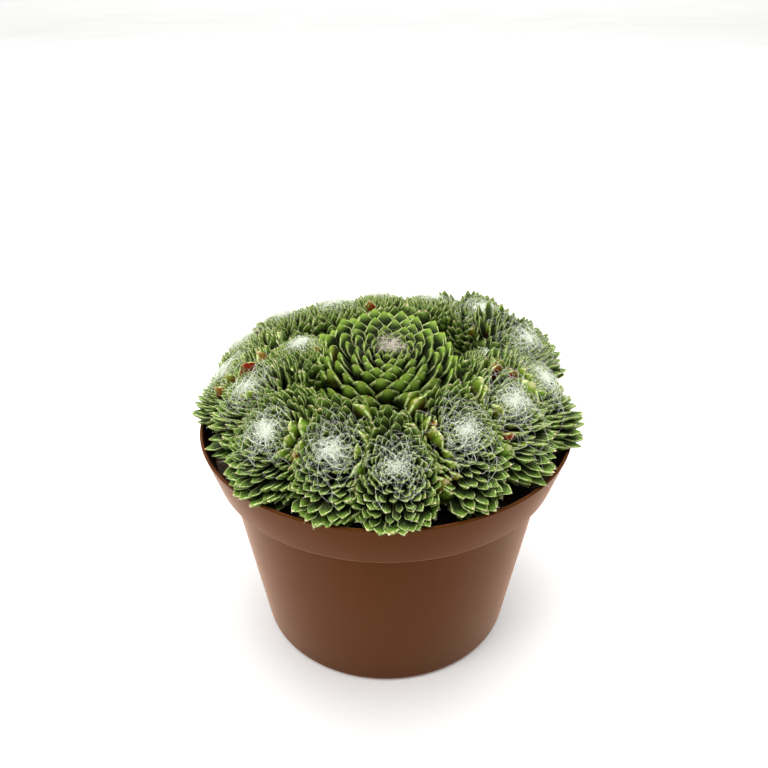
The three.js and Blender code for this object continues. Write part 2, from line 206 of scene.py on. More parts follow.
for method, node_operation in {
        "__add__": "ADD", "__sub__": "SUBTRACT", "__truediv__": "DIVIDE", "__pow__": "POWER",
        "__gt__": "GREATER_THAN", "__lt__": "LESS_THAN", "least": "MINIMUM", "most": "MAXIMUM",
        "root": "SQRT", "sine": "SINE", "cosine": "COSINE", "magnitude": "ABSOLUTE",
        "rounded_down": "FLOOR", "cross": "CROSS_PRODUCT", "dot": "DOT_PRODUCT",
        "normal": "NORMALIZE", "length": "LENGTH"}.items():
    setattr(Field, method, functools.partialmethod(Field.maths, node_operation))


# %% Trees and what they hold
def new_tree(name, kind, inputs, outputs):
    """An empty node group with named sockets. Returns it, its inputs as fields, and its exit.
    A socket is given by its start value, or by the name of its kind where it has none."""
    tree = bpy.data.node_groups.new(name, kind)
    kinds = {int: "Int", float: "Float", tuple: "Vector"}
    for in_out, sockets in (("INPUT", inputs), ("OUTPUT", outputs)):
        for socket_name, value in sockets.items():
            kind = kinds.get(type(value), value)
            socket = tree.interface.new_socket(
                socket_name, in_out=in_out, socket_type=f"NodeSocket{kind}")
            if kind != value:
                socket.default_value = value
    entry = tree.nodes.new("NodeGroupInput")
    fields = {s.name: Field(tree, s) for s in entry.outputs if s.name}
    return tree, fields, tree.nodes.new("NodeGroupOutput")


def store(tree, points, values, **options):
    """Writes values on the points, each as an attribute with its name."""
    for name, value in values.items():
        points = add(tree, "GeometryNodeStoreNamedAttribute", points, None, name, value,
                     **options)
    return points


def send(tree, field, socket):
    tree.links.new(field.socket, socket)


def tell(tree):
    print(f"{tree.name}: {len(tree.nodes)} nodes")


# %% Growing a plain mesh with a Geometry Nodes tree
def mesh_of(name, points, faces=(), edges=()):
    mesh = bpy.data.meshes.new(name)
    mesh.from_pydata([tuple(p) for p in points], edges, faces)
    return mesh


def settle(holder):
    """Makes what an object's modifiers show its own plain mesh, and removes them."""
    depsgraph = bpy.context.evaluated_depsgraph_get()
    settled = bpy.data.meshes.new_from_object(
        holder.evaluated_get(depsgraph), preserve_all_data_layers=True, depsgraph=depsgraph)
    holder.modifiers.clear()
    holder.data = settled
    settled.name = holder.name
    return holder


def grow(name, tree, mesh, **sizes):
    """Runs a tree on a mesh, with its named inputs set, and keeps the result as a plain mesh."""
    holder = link(name, mesh)
    modifier = holder.modifiers.new("Grow", "NODES")
    modifier.node_group = tree
    for socket in tree.interface.items_tree:
        if socket.item_type == "SOCKET" and socket.in_out == "INPUT" and socket.name in sizes:
            value = sizes.pop(socket.name)
            modifier[socket.identifier] = tuple(value) if np.ndim(value) else value
    assert not sizes, f"{tree.name} has no input named {sorted(sizes)}"
    return settle(holder)


print("helpers ready")

# %% [markdown]
# ## Floor and light
# The pot stands on a plain pale floor under soft studio light. One large softbox overhead
# lights the plant from above, so that leaf tips are bright and the gaps between leaves stay
# dark. A second one, far behind, keeps the floor pale up to its end, and a small one at the
# front left gives the leaves and the plastic their soft sheen.


# %% Colours
def srgb(red, green, blue):
    """A colour that is known in 0..255 screen values, as the linear values that shaders use."""
    return tuple([((v / 255 + 0.055) / 1.055) ** 2.4 if v > 10 else v / 255 / 12.92
                  for v in (red, green, blue)] + [1.0])


def new_material(name, **sockets):
    """A material with one Principled BSDF, whose plain values are set on its own sockets."""
    material = bpy.data.materials.new(name)
    material.use_nodes = True
    surface = material.node_tree.nodes["Principled BSDF"]
    for socket, value in sockets.items():
        surface.inputs[socket].default_value = value
    return material, material.node_tree, surface


print("mid grey in linear values:", srgb(128, 128, 128))

# %% Floor
floor_material, tree, surface = new_material("pale_studio_floor", **{
    "Roughness": 0.75, "Emission Color": (1, 1, 1, 1), "Emission Strength": 0.2})
spot = add(tree, "ShaderNodeNewGeometry")
cloud = add(tree, "ShaderNodeTexNoise", spot, 3.0)
tone = cloud.mapped(0.3, 0.7).blend(srgb(238, 237, 235), srgb(246, 245, 244))
send(tree, tone, surface.inputs["Base Color"])
far = 9    # the floor ends this many metres away
floor = link("studio_floor", mesh_of("studio_floor", [
    (-far, -far, 0), (far, -far, 0), (far, far, 0), (-far, far, 0)], [(0, 1, 2, 3)]))
floor.data.materials.append(floor_material)
print("floor:", 2 * far, "m wide")


# %% Lamps and surround
def softbox(name, place, aim, width, height, power, tint=(1, 1, 1)):
    data = bpy.data.lights.new(name, "AREA")
    data.shape, data.size, data.size_y = "RECTANGLE", width, height
    data.energy, data.color = power, tint
    lamp = link(name, data)
    lamp.location = place
    lamp.rotation_euler = (Vector(aim) - Vector(place)).to_track_quat("-Z", "Y").to_euler()


softbox("softbox_overhead", (0, 0.2, 3), (0, 0, 0), 3.0, 3.0, 135)
softbox("softbox_far", (0, 8, 3), (0, 8, 0), 12, 9, 330)
softbox("softbox_front_left", (-0.5, -0.5, 0.9), (0, 0, 0.08), 0.4, 0.4, 3.0, (1, 0.99, 0.96))
world = bpy.data.worlds.new("white_surround")
bpy.context.scene.world = world
world.use_nodes = True
background = world.node_tree.nodes["Background"]
background.inputs["Color"].default_value = (1, 1, 1, 1)
background.inputs["Strength"].default_value = 0.18
bpy.context.scene.view_settings.view_transform = "Standard"
print("three softboxes and a white surround")

# %% [markdown]
# ## The shape of a leaf
# A houseleek's leaf is thick and boat-shaped: narrow where it joins the stem, widest past the
# middle, and pointed. It bows, so that its tip turns up and in. One leaf could be sculpted, but
# a few rings of seven points say the same and keep it to a few dozen faces, which matters when
# there are thousands. A leaf is made one unit long and one unit wide, and each plant stretches
# it. It carries two attributes for its skin: how far along it a point is, and how far across.

# %% Leaf shapes
RING = [(-1, 0), (-0.5, 0.8), (0.5, 0.8), (1, 0), (0.5, -0.72), (0, -1), (-0.5, -0.72)]


def leaf_shape(name, outline, bow, face, keel):
    """A leaf from (share of length, share of width) pairs. face and keel are how far its upper
    and lower sides stand out, in widths, and bow is how far it sags between foot and tip."""
    points, along, across = [], [], []
    for share, width in outline:
        middle = -bow * math.sin(math.pi * share)
        for x, z in RING:
            rise = z * (face if z > 0 else keel) * width ** 0.7
            points.append((x * width / 2, share, middle + rise))
            along.append(share)
            across.append(x)
    last, size = len(outline) - 1, len(RING)
    faces = [tuple(range(size))]
    for ring in range(last):
        for i in range(size):
            a, b = ring * size + i, ring * size + (i + 1) % size
            faces.append((b, a, a + size, b + size))
    tip = len(points)
    points.append((0, 1, 0))
    along.append(1.0)
    across.append(0.0)
    faces += [(last * size + (i + 1) % size, last * size + i, tip) for i in range(size)]
    mesh = mesh_of(name, points, faces)
    mesh.polygons.foreach_set("use_smooth", [True] * len(faces))
    for edge in mesh.edges:
        margins = {v % size for v in edge.vertices if v != tip}
        edge.use_edge_sharp = margins in ({0}, {3})    # RING's points 0 and 3 are the two margins
    for attribute, values in {"along": along, "across": across}.items():
        mesh.attributes.new(attribute, "FLOAT", "POINT").data.foreach_set("value", values)
    return mesh


def leaf_collection(name, shapes):
    """Keeps some leaf shapes, youngest first, where a Geometry Nodes tree can pick from them."""
    shelf = bpy.data.collections.new(name)
    for i, shape in enumerate(shapes):
        shelf.objects.link(bpy.data.objects.new(f"{name}_{i}", shape))
    return shelf


POINTED = [(0, 0.5), (0.5, 0.8), (0.78, 1.0), (0.92, 0.42)]
BROAD = [(0, 0.5), (0.46, 0.84), (0.76, 1.0), (0.91, 0.46)]
CHICK_LEAVES = leaf_collection("chick_leaf", [
    leaf_shape("chick_leaf_young", POINTED, 0.25, 0.16, 0.42),
    leaf_shape("chick_leaf_grown", POINTED, 0.25, 0.16, 0.4),
    leaf_shape("chick_leaf_old", BROAD, 0.18, 0.16, 0.34),
])
HEN_LEAVES = leaf_collection("hen_leaf", [
    leaf_shape("hen_leaf_young", POINTED, 0.2, 0.12, 0.34),
    leaf_shape("hen_leaf_grown", BROAD, 0.16, 0.12, 0.34),
    leaf_shape("hen_leaf_old", BROAD, 0.16, 0.12, 0.32),
])
LEAF_POINTS = len(RING) * len(POINTED) + 1
print("a leaf has", LEAF_POINTS, "points")

# %% [markdown]
# ## How a rosette grows
# A houseleek sets each new leaf 137.5 degrees round from the last, and pushes the old ones
# outward and down. That rule is all it takes to place every leaf, so a Geometry Nodes tree
# follows it: it numbers the leaves from the youngest, finds where each one starts on the stem
# and where its tip lies on the rosette's dome, and sets a leaf between the two. Where rosettes
# crowd each other, a leaf can't grow through its neighbour. It stays short and turns upright,
# as on the real plant: the tree casts a ray along each leaf at flat walls that stand between the
# plants. An old leaf that would have to start beyond a wall isn't set at all. Last the tree
# keeps tips over the pot's rim out of the plastic, and low ones above the soil.

# %% The rosette tree's inputs, in metres
ROSETTE_INPUTS = {
    "Walls": "Geometry", "Leaf shapes": "Collection", "Skin": "Material", "Middle": "Vector",
    "Axis": "Vector", "Downhill": "Vector", "Side": "Vector", "Outer shift": "Vector",
    "Leaves": 196, "Leaves on the dome": 140, "Spread": 0.75,
    "Reach out": 0.02, "Reach back": 0.02, "Reach aside": 0.015,
    "Dome drop": 0.007, "Skirt depth": 0.009, "Skirt tuck": 0.1,
    "Young foot depth": 0.009, "Old foot depth": 0.023,
    "Crown share": 0.5, "Old crown share": 0.34,
    "Young width": 0.0017, "Old width": 0.0055, "Broadening": 1.7, "Skirt broadening": 0.4,
    "Unevenness": 1.0, "Squeeze lift": 0.8, "Inside the rim": 0.0672,
    "Outside the rim": 0.0704, "Over the rim": 0.0903, "Soil height": 0.082, "Seed": 1,
}
GOLDEN_ANGLE = math.radians(137.508)
MOST_LIFT = 0.007             # a squeezed leaf's tip rises by this much at most
SQUEEZED_PER_METRE = 300.0    # a leaf that is cut short by 3.3 mm counts as fully squeezed
rosette, given, leave = new_tree(
    "Rosette", "GeometryNodeTree", ROSETTE_INPUTS, {"Leaves": "Geometry"})
index = add(rosette, "GeometryNodeInputIndex")
print("rosette inputs:", len(given))


# %% Where each leaf starts and where its tip lies
def chance(number, low=-1.0, high=1.0):
    """A random number for each leaf. Each use has its own number, so that none repeats."""
    seed = given["Seed"] * 31 + float(number)
    return add(rosette, "FunctionNodeRandomValue", low, high, index, seed, data_type="FLOAT")


wobble = given["Unevenness"]
age = index / given["Leaves"]
on_dome = (index / given["Leaves on the dome"]).least(1.0)
past_dome = (index - given["Leaves on the dome"]) / (given["Leaves"] - given["Leaves on the dome"])
past_dome = past_dome.most(0.0)
out_share = on_dome ** given["Spread"]
turn = index * GOLDEN_ANGLE + chance(1) * wobble * 0.07
ahead, aside = turn.cosine(), turn.sine()
far = add(rosette, "GeometryNodeSwitch", ahead > 0.0, given["Reach back"],
          given["Reach out"], input_type="FLOAT")
reach = ((ahead / far) ** 2.0 + (aside / given["Reach aside"]) ** 2.0) ** -0.5
reach = reach * out_share * (chance(2) * wobble * 0.035 + 1.0)
reach = reach * (1.0 - past_dome * given["Skirt tuck"])
dome = (1.0 - out_share ** 2.0).root()
height = (dome - 1.0) * given["Dome drop"] - past_dome * given["Skirt depth"]
height = height + chance(3) * wobble * 0.0004

heading = given["Downhill"] * ahead + given["Side"] * aside
centre = given["Middle"] + given["Outer shift"] * out_share
tip = centre + heading * reach + given["Axis"] * height
foot_depth = age.blend(given["Young foot depth"], given["Old foot depth"])
foot_reach = reach * age.blend(given["Crown share"], given["Old crown share"])
foot = centre + heading * (foot_reach + 0.0003) - given["Axis"] * foot_depth
tell(rosette)

# %% Walls cut leaves short
line = tip - foot
strike = add(rosette, "GeometryNodeRaycast", given["Walls"], None, foot, line.normal(),
             line.length())
shortfall = line.length() - strike.also("Hit Distance") + chance(8, -0.0005, 0.0009) * wobble
shortfall = shortfall * strike
tip = tip - line.normal() * shortfall
tip = tip + given["Axis"] * (shortfall * given["Squeeze lift"]).least(MOST_LIFT)
crowding = (shortfall * SQUEEZED_PER_METRE).most(0.0).least(1.0)

stem_side = centre - given["Axis"] * foot_depth
outward = foot - stem_side
through = add(rosette, "GeometryNodeRaycast", given["Walls"], None, stem_side, outward.normal(),
              outward.length())
has_room = 1.0 - through * (past_dome > 0.3)
tell(rosette)


# %% Rim and soil keep tips out
def split(tree, vector):
    """A point's height, its distance from the pot's axis, and its parts."""
    x = add(tree, "ShaderNodeSeparateXYZ", vector)
    y, z = x.also("Y"), x.also("Z")
    return z, (x * x + y * y).root(), x, y


z, tip_radius, x, y = split(rosette, tip)
foot_z, foot_radius, _, _ = split(rosette, foot)
run = (tip_radius - foot_radius) / (given["Outside the rim"] - foot_radius)
clear = foot_z - (foot_z - given["Over the rim"]) * run
clear = clear * (tip_radius > given["Inside the rim"])
z = z.most(given["Soil height"]).most(clear)
tip = add(rosette, "ShaderNodeCombineXYZ", x, y, z)
tell(rosette)

# %% Set a leaf between each foot and its tip
line = tip - foot
tangent = given["Side"] * ahead - given["Downhill"] * aside
upper = line.cross(tangent).normal() + tangent * (chance(4) * wobble * 0.18)
width = (out_share ** given["Broadening"]).blend(given["Young width"], given["Old width"])
width = width * (past_dome * given["Skirt broadening"] + 1.0)
width = width * (chance(5) * wobble * 0.12 + 1.0)
width = width * (crowding * age.mapped(0.35, 0.7) + 1.0)
stretch = add(rosette, "ShaderNodeCombineXYZ", width, line.length(), width)
pick = (age * 3.0 + chance(6) * 0.4).least(2.0).most(0.0).rounded_down()

leaves = add(rosette, "GeometryNodePoints", given["Leaves"], foot, 0.001)
leaves = store(rosette, leaves, {
    "age": age, "crowding": crowding, "tint": chance(7, 0.0, 1.0)})
shapes = add(rosette, "GeometryNodeCollectionInfo", given["Leaf shapes"], True, True)
facing = add(rosette, "FunctionNodeAxesToRotation", line.normal(), upper,
             primary_axis="Y", secondary_axis="Z")
leaves = add(rosette, "GeometryNodeInstanceOnPoints", leaves, has_room, shapes, True, pick,
             facing, stretch)
leaves = add(rosette, "GeometryNodeRealizeInstances", leaves)
leaves = add(rosette, "GeometryNodeSetMaterial", leaves, None, given["Skin"])
send(rosette, leaves, leave.inputs[0])
tell(rosette)

# %% [markdown]
# ## The skin of a leaf
# Young leaves in the middle are dull with down, old ones at the edge are fresh green, and each
# leaf differs a little from the next. Shade is painted at a leaf's foot, deep between its
# neighbours, and higher up where the leaf is crowded. Towards its end a leaf turns paler, partly
# its own colour and partly a painted highlight. A pale rim follows the margin, partly short
# hairs and partly a painted highlight, the tip has a paler or reddish point, and a few leaves
# blush red where the sun and cold reach them. All of this hangs on the attributes that the
# leaf shape and the tree carry, so one shader group makes it for the hen and the chicks, each
# with its own colours. The Principled BSDF and its plain values stay in each material.

# %% Leaf skin group
LEAF_SKIN_INPUTS = {
    "Young": "Color", "Grown": "Color", "Old": "Color", "Foot": "Color", "End": "Color",
    "Rim": "Color", "Point": "Color", "Blush": "Color", "Down": 0.5, "Rim width": 0.2,
    "Point start": 0.93, "Paler end": 0.06, "Dark up to": 0.97, "Dark below": 0.55,
}
SKIN_OUTPUTS = {"Color": "Color", "Roughness": "Float", "Height": "Float"}
leaf_skin, skin, leave = new_tree(
    "Leaf skin", "ShaderNodeTree", LEAF_SKIN_INPUTS, SKIN_OUTPUTS)


def attribute(tree, name):
    return add(tree, "ShaderNodeAttribute", attribute_name=name).also("Fac")


def noise(tree, scale, detail=2.0):
    """Noise of a size in features a metre, on the object's own coordinates."""
    coordinates = add(tree, "ShaderNodeTexCoord").also("Object")
    return add(tree, "ShaderNodeTexNoise", coordinates, scale, detail)


along, across = attribute(leaf_skin, "along"), attribute(leaf_skin, "across")
age, tint = attribute(leaf_skin, "age"), attribute(leaf_skin, "tint")
blush, crowding = attribute(leaf_skin, "blush"), attribute(leaf_skin, "crowding")
patches = noise(leaf_skin, 420.0)
speckle = noise(leaf_skin, 2600.0, 3.0)
print("leaf skin inputs:", len(skin))

# %% Leaf skin: from green to green, painted shade at the foot, and a paler end that is partly a painted highlight
colour = age.mapped(0.05, 0.45).blend(skin["Young"], skin["Grown"])
shift = (tint * 0.8 + patches * 0.6 - 0.4).mapped(0.15, 0.75)
older = age.mapped(0.35, 0.95) * 0.5 + shift * 0.5 + crowding * age.mapped(0.3, 0.6) * 0.6
older = older.least(1.0)
colour = older.blend(colour, skin["Old"])
# Towards its end a leaf turns paler: partly its own colour, partly a painted highlight.
paler = along.mapped(0.76, 1.0) * skin["Paler end"]
colour = paler.blend(colour, skin["End"])
# Painted shade: each leaf's foot, deep between its neighbours, turns near black, and higher up
# where the leaf is crowded.
painted_foot_shade = skin["Dark up to"] + crowding * 0.09 - along
painted_foot_shade = painted_foot_shade / (skin["Dark up to"] - skin["Dark below"])
painted_foot_shade = painted_foot_shade.mapped(0.0, 1.0, smooth=True) * 0.97
colour = painted_foot_shade.blend(colour, skin["Foot"])
tell(leaf_skin)

# %% Leaf skin: blush, down, a rim of hairs and painted highlight, and point
blotch = blush * along.mapped(0.35, 0.8) * patches.mapped(0.3, 0.55).most(0.55)
colour = blotch.blend(colour, skin["Blush"])
down = skin["Down"] * speckle.mapped(0.42, 0.68) * age.mapped(0.75, 0.1)
colour = down.blend(colour, skin["Rim"])
# The pale rim along the margin is partly short hairs and partly a painted highlight.
edge = across.magnitude() + speckle * 0.5 - 0.24 + along.mapped(0.85, 1.0) * 0.15
rim_width = skin["Rim width"] * age.mapped(0.0, 0.35, 1.7, 1.0)
rim = ((edge - 1.0) / rim_width + 1.0) * 1.7
rim = rim.most(0.0).least(1.0) * along.mapped(0.4, 0.85, 0.25, 1.0)
colour = (rim * 0.95).blend(colour, skin["Rim"])
point = ((along - skin["Point start"]) * 30.0).most(0.0).least(1.0)
point = point * tint.mapped(0.2, 0.9).most(0.2)
colour = point.blend(colour, skin["Point"])
send(leaf_skin, colour, leave.inputs["Color"])
send(leaf_skin, (rim + down).mapped(0.0, 1.0, 0.36, 0.75), leave.inputs["Roughness"])
send(leaf_skin, speckle * 0.6 + patches * 0.6 + rim * 0.5, leave.inputs["Height"])
tell(leaf_skin)


# %% Leaf skins
def finished(name, group, values, bump, depth, **sockets):
    """A material whose colour, roughness and bump come from a skin group with these values."""
    made, tree, surface = new_material(name, **sockets)
    skin_node = tree.nodes.new("ShaderNodeGroup")
    skin_node.node_tree = group
    for value_name, value in values.items():
        skin_node.inputs[value_name].default_value = value
    outputs = {s.name: Field(tree, s) for s in skin_node.outputs}
    raised = add(tree, "ShaderNodeBump", bump, depth)
    send(tree, outputs["Height"], raised.socket.node.inputs["Height"])
    send(tree, outputs["Color"], surface.inputs["Base Color"])
    send(tree, outputs["Roughness"], surface.inputs["Roughness"])
    send(tree, raised, surface.inputs["Normal"])
    return made


# The near-black foot colour is painted shade; the End and Rim colours are partly painted
# highlights.
chick_skin = finished("chick_leaf_skin", leaf_skin, {
    "Young": srgb(80, 110, 50), "Grown": srgb(44, 86, 18), "Old": srgb(118, 160, 36),
    "Foot": srgb(6, 20, 4), "End": srgb(152, 188, 62), "Rim": srgb(222, 240, 158),
    "Point": srgb(232, 214, 172), "Blush": srgb(140, 36, 10),
    "Down": 0.35, "Rim width": 0.2, "Point start": 0.93, "Paler end": 0.4,
    "Dark up to": 0.98, "Dark below": 0.66},
    0.5, 0.0004, **{"IOR": 1.4, "Specular IOR Level": 0.25})
hen_skin = finished("hen_leaf_skin", leaf_skin, {
    "Young": srgb(76, 112, 38), "Grown": srgb(42, 88, 18), "Old": srgb(108, 148, 34),
    "Foot": srgb(4, 16, 2), "End": srgb(178, 214, 86), "Rim": srgb(226, 242, 158),
    "Point": srgb(150, 104, 70), "Blush": srgb(150, 70, 28),
    "Down": 0.16, "Rim width": 0.18, "Point start": 0.96, "Paler end": 0.9,
    "Dark up to": 0.97, "Dark below": 0.74},
    0.5, 0.0005, **{"IOR": 1.42, "Specular IOR Level": 0.36})
print("leaf skins:", chick_skin.name, hen_skin.name)

# %% [markdown]
# ## Walls between the plants
# Two rosettes that press on each other part the room by their sizes: the wall between them
# stands where both would be squeezed alike. The walls only guide the leaves while they grow,
# and each plant's own are the mesh that its tree starts from.


# %% Walls
NEIGHBOUR_WITHIN = 0.08    # plants further apart than this don't touch
HALF_A_WALL = 0.05
PRESS = {"hen": 0.033, "chick_16": 0.013, "chick_17": 0.014}    # others press by their width


def walls_round(name):
    """Flat walls between this plant and each of its neighbours, as one mesh."""
    here, points, faces = PLANTS[name], [], []
    for other, there in PLANTS.items():
        apart = there["hub"] - here["hub"]
        distance = np.linalg.norm(apart)
        if other == name or distance > NEIGHBOUR_WITHIN:
            continue
        normal = apart / distance
        press = here["press"] ** 2 - there["press"] ** 2
        centre = here["hub"] + normal * (distance ** 2 + press) / (2 * distance)
        across = unit(np.cross(normal, [0.1, 0.2, 1]))    # any direction along the wall
        up = np.cross(normal, across)
        faces.append(tuple(range(len(points), len(points) + 4)))
        points += [centre + HALF_A_WALL * (a * across + b * up)
                   for a, b in ((-1, -1), (1, -1), (1, 1), (-1, 1))]
    return mesh_of(f"{name}_walls", points, faces)


for name, here in PLANTS.items():
    here["press"] = PRESS.get(name, here["half_width"])
print("walls round the hen:", len(walls_round("hen").polygons))

# %% [markdown]
# ## Grow the rosettes
# The hen is a broad open cup of 150 wide leaves round a bud. Most chicks pack more than twice as
# many small leaves in a third of the room, and their lowest leaves hang like a skirt. Those at
# the back stand highest above the rim, so they have the longest skirts.


# %% Grow the hen
def grow_rosette(name, kind, shelf, skin_material, **sizes):
    """Runs the rosette tree at a plant's place, with its own reach unless sizes has another."""
    here = PLANTS[name]
    places = {
        "Leaf shapes": shelf, "Skin": skin_material, "Middle": here["middle"],
        "Axis": here["axis"], "Downhill": here["downhill"], "Side": here["side"],
        "Reach out": here["out"], "Reach back": here["back"], "Reach aside": here["half_width"]}
    return grow(f"{name}_{kind}", rosette, walls_round(name), **{**places, **sizes})


ROSETTES = {"hen": grow_rosette("hen", "rosette", HEN_LEAVES, hen_skin, **{
    "Outer shift": (-0.0026, 0, 0), "Leaves": 150, "Leaves on the dome": 92, "Spread": 0.85,
    "Reach out": 0.0215, "Reach back": 0.0272, "Reach aside": 0.0252, "Dome drop": 0.002,
    "Skirt depth": 0.017, "Skirt tuck": -0.16, "Crown share": 0.46, "Old crown share": 0.62,
    "Young foot depth": 0.0075, "Old foot depth": 0.021, "Young width": 0.0024,
    "Old width": 0.0096, "Broadening": 1.1, "Skirt broadening": 0.0, "Seed": 3})}
print("the hen's leaves:", len(ROSETTES["hen"].data.vertices) // LEAF_POINTS)

# %% Grow the chicks
# Leaves, those of them on the dome, leaf width and foot depth in mm, crown share, skirt in mm
FRONT = (370, 212, 4.6, 20, 0.42, 11)
FRONT_CORNER = (390, 225, 4.4, 19, 0.45, 12)
BACK = (300, 185, 4.0, 16, 0.5, 9)
SMALL = (150, 90, 3.8, 14, 0.5, 9)
BUILDS = {1: FRONT, 2: FRONT, 3: FRONT, 4: FRONT_CORNER, 5: FRONT_CORNER, 6: FRONT_CORNER,
          17: SMALL, 18: SMALL}
OUT_SHARES = {4: 0.93, 5: 0.96, 6: 1.07, 14: 1.08, 15: 1.08}
BACK_SHARES = {16: 0.6}
LONG_SKIRTS = {7: 15, 8: 19, 9: 18, 10: 19, 11: 19, 12: 16, 16: 13}
LEAVES_PER_LONGER_MM = 8
DOME_DROPS = {7: 5.5, 8: 5, 9: 5}
LIFTS = {6: 1.0, 7: 0.15, 8: 0.0}
for name, here in list(PLANTS.items())[1:]:
    number = here["number"]
    leaves, dome, width, depth, share, skirt = BUILDS.get(number, BACK)
    if number in LONG_SKIRTS:
        leaves += LEAVES_PER_LONGER_MM * (LONG_SKIRTS[number] - skirt)
        skirt = LONG_SKIRTS[number]
    ROSETTES[name] = grow_rosette(name, "rosette", CHICK_LEAVES, chick_skin, **{
        "Leaves": leaves, "Leaves on the dome": dome, "Old width": width * MM,
        "Old foot depth": depth * MM, "Old crown share": share, "Skirt depth": skirt * MM,
        "Dome drop": DOME_DROPS.get(number, 7) * MM, "Squeeze lift": LIFTS.get(number, 0.8),
        "Reach out": here["out"] * OUT_SHARES.get(number, 1.0),
        "Reach back": here["back"] * BACK_SHARES.get(number, 1.02),
        "Reach aside": here["half_width"] * 1.05, "Unevenness": 1.5, "Seed": number})
print({name: len(grown.data.polygons) for name, grown in ROSETTES.items()})

# %% [markdown]
# ## Single leaves that stand out
# Sun and cold turn a few of the old leaves red or bronze, and where two rosettes meet some old
# leaves stand up broad and yellow-green. Which ones is up to chance on a real plant. Here a
# table names their places, and the leaf nearest to each place is made broader, older in colour
# and as red as the table says. The skin reads all that as attributes.

# %% Standing out: place in millimetres, how red, and how much broader than its neighbours
STANDING_OUT = [
    (-48, -15, 116, 1.0, 1.9), (-59, -12, 105, 0.8, 0.9), (-45, -4, 114, 0.8, 0.9),
    (-51, 27, 111, 0.7, 0.6), (-6, 37, 117, 1.0, 1.3), (36, -24, 120, 0.8, 1.1),
    (43, -24, 116, 0.9, 1.0), (39, -43, 108, 0.9, 1.1), (-28, -52, 104, 0.9, 0.9),
    (14, -50, 114, 0.9, 0.5), (35, 24, 113, 0.5, 0.4), (-55, -11, 109, 0.4, 0.7),
    (18, -60, 99, 0.6, 0.2), (37, -19, 120, 0.4, 0.4), (-25, -7, 119, 0.5, 0.4),
    (-58, 18, 108, 0.5, 0.3), (15, -51, 112, 0.2, 1.2), (17, -53, 111, 0.1, 1.4),
    (20, -57, 105, 0.1, 1.0), (21, -59, 102, 0.3, 0.8), (-8, -53, 111, 0.1, 1.2),
    (-10, -57, 109, 0.1, 1.2), (-10, -59, 105, 0.0, 1.0), (36, -39, 113, 0.2, 1.4),
    (31, -34, 119, 0.1, 1.4), (-27, -47, 111, 0.0, 1.2), (-28, -51, 106, 0.1, 1.0),
    (47, -19, 116, 0.1, 1.5), (48, -24, 112, 0.1, 1.5), (38, -21, 120, 0.2, 0.5),
    (-47, -28, 111, 0.2, 1.5), (-45, -29, 113, 0.1, 1.4), (-49, -29, 110, 0.1, 1.0),
    (13, -49, 113, 0.1, 1.0), (40, 14, 116, 0.2, 0.4), (40, 14, 118, 0.1, 0.3),
    (-20, -6, 118, 0.1, 0.1), (-21, 1, 119, 0.0, 0.1), (-19, -18, 115, 0.1, 0.1),
    (-13, -24, 112, 0.0, 0.1), (-17, 7, 120, 0.0, 0.1), (-30, -47, 110, 0.1, 1.2),
    (-31, -49, 108, 0.1, 1.1), (-33, -51, 104, 0.0, 1.0), (-8, -47, 116, 0.1, 1.1),
    (9, -41, 118, 0.1, 1.1), (10, -44, 117, 0.2, 1.1), (19, -55, 107, 0.1, 1.2),
    (32, -36, 117, 0.1, 1.2), (40, -46, 108, 0.1, 0.7), (44, -44, 103, 0.1, 0.5),
    (38, -47, 103, 0.0, 0.5), (49, -20, 114, 0.1, 1.2), (53, -23, 110, 0.0, 1.0),
]


def leaf_points(name):
    """The points of a grown rosette, leaf by leaf, youngest first."""
    points = np.zeros(len(ROSETTES[name].data.vertices) * 3)
    ROSETTES[name].data.vertices.foreach_get("co", points)
    return points.reshape(-1, LEAF_POINTS, 3)


def set_leaf_values(mesh, attribute, leaves, value):
    """Gives all the points of some leaves one value of an attribute."""
    layer = mesh.attributes.get(attribute) or mesh.attributes.new(attribute, "FLOAT", "POINT")
    values = np.zeros(len(mesh.vertices))
    layer.data.foreach_get("value", values)
    values.reshape(-1, LEAF_POINTS)[leaves] = value
    layer.data.foreach_set("value", values)


UPPER_HALF = slice(2 * len(RING), None)    # the points of a leaf past its second ring
HEADS = {name: leaf_points(name)[:, UPPER_HALF].mean(axis=1) / MM for name in ROSETTES}
for grown in ROSETTES.values():
    set_leaf_values(grown.data, "blush", slice(None), 0.0)
LOOKS_OLD = {"age": 0.9, "crowding": 0.4, "tint": 0.55}
standing = set()
for *place, red, broader in STANDING_OUT:
    gaps = {name: np.linalg.norm(heads - place, axis=1) for name, heads in HEADS.items()}
    nearest = min(gaps, key=lambda name: gaps[name].min())
    leaf, mesh = int(gaps[nearest].argmin()), ROSETTES[nearest].data
    if (nearest, leaf) in standing:
        continue
    standing.add((nearest, leaf))
    for attribute_name, value in {"blush": red, **LOOKS_OLD}.items():
        set_leaf_values(mesh, attribute_name, leaf, value)
    points = leaf_points(nearest)
    foot = points[leaf, :len(RING)].mean(axis=0)
    lengthwise = unit(points[leaf, -1] - foot)
    lengths = np.outer((points[leaf] - foot) @ lengthwise, lengthwise)
    points[leaf] = (foot + lengths * (1 + 0.15 * broader)
                    + (points[leaf] - foot - lengths) * (1 + broader))
    mesh.vertices.foreach_set("co", points.ravel())
print(len(standing), "leaves stand out")

# %% [markdown]
# ## The cobweb
# The hairs grow from the leaf tips, and while a leaf is young its hairs stick to those of the
# leaves round it. As the rosette opens they are drawn out into threads from tip to tip. So the
# threads aren't a texture: each one is a fine three-sided tube between two tips that are near
# each other. One tree makes them all. It picks a tip, looks a short way off for another, and
# bends a thread between the two, a little off the dome. Loose hairs and the tufts on the tips
# are threads whose far end holds on to nothing.

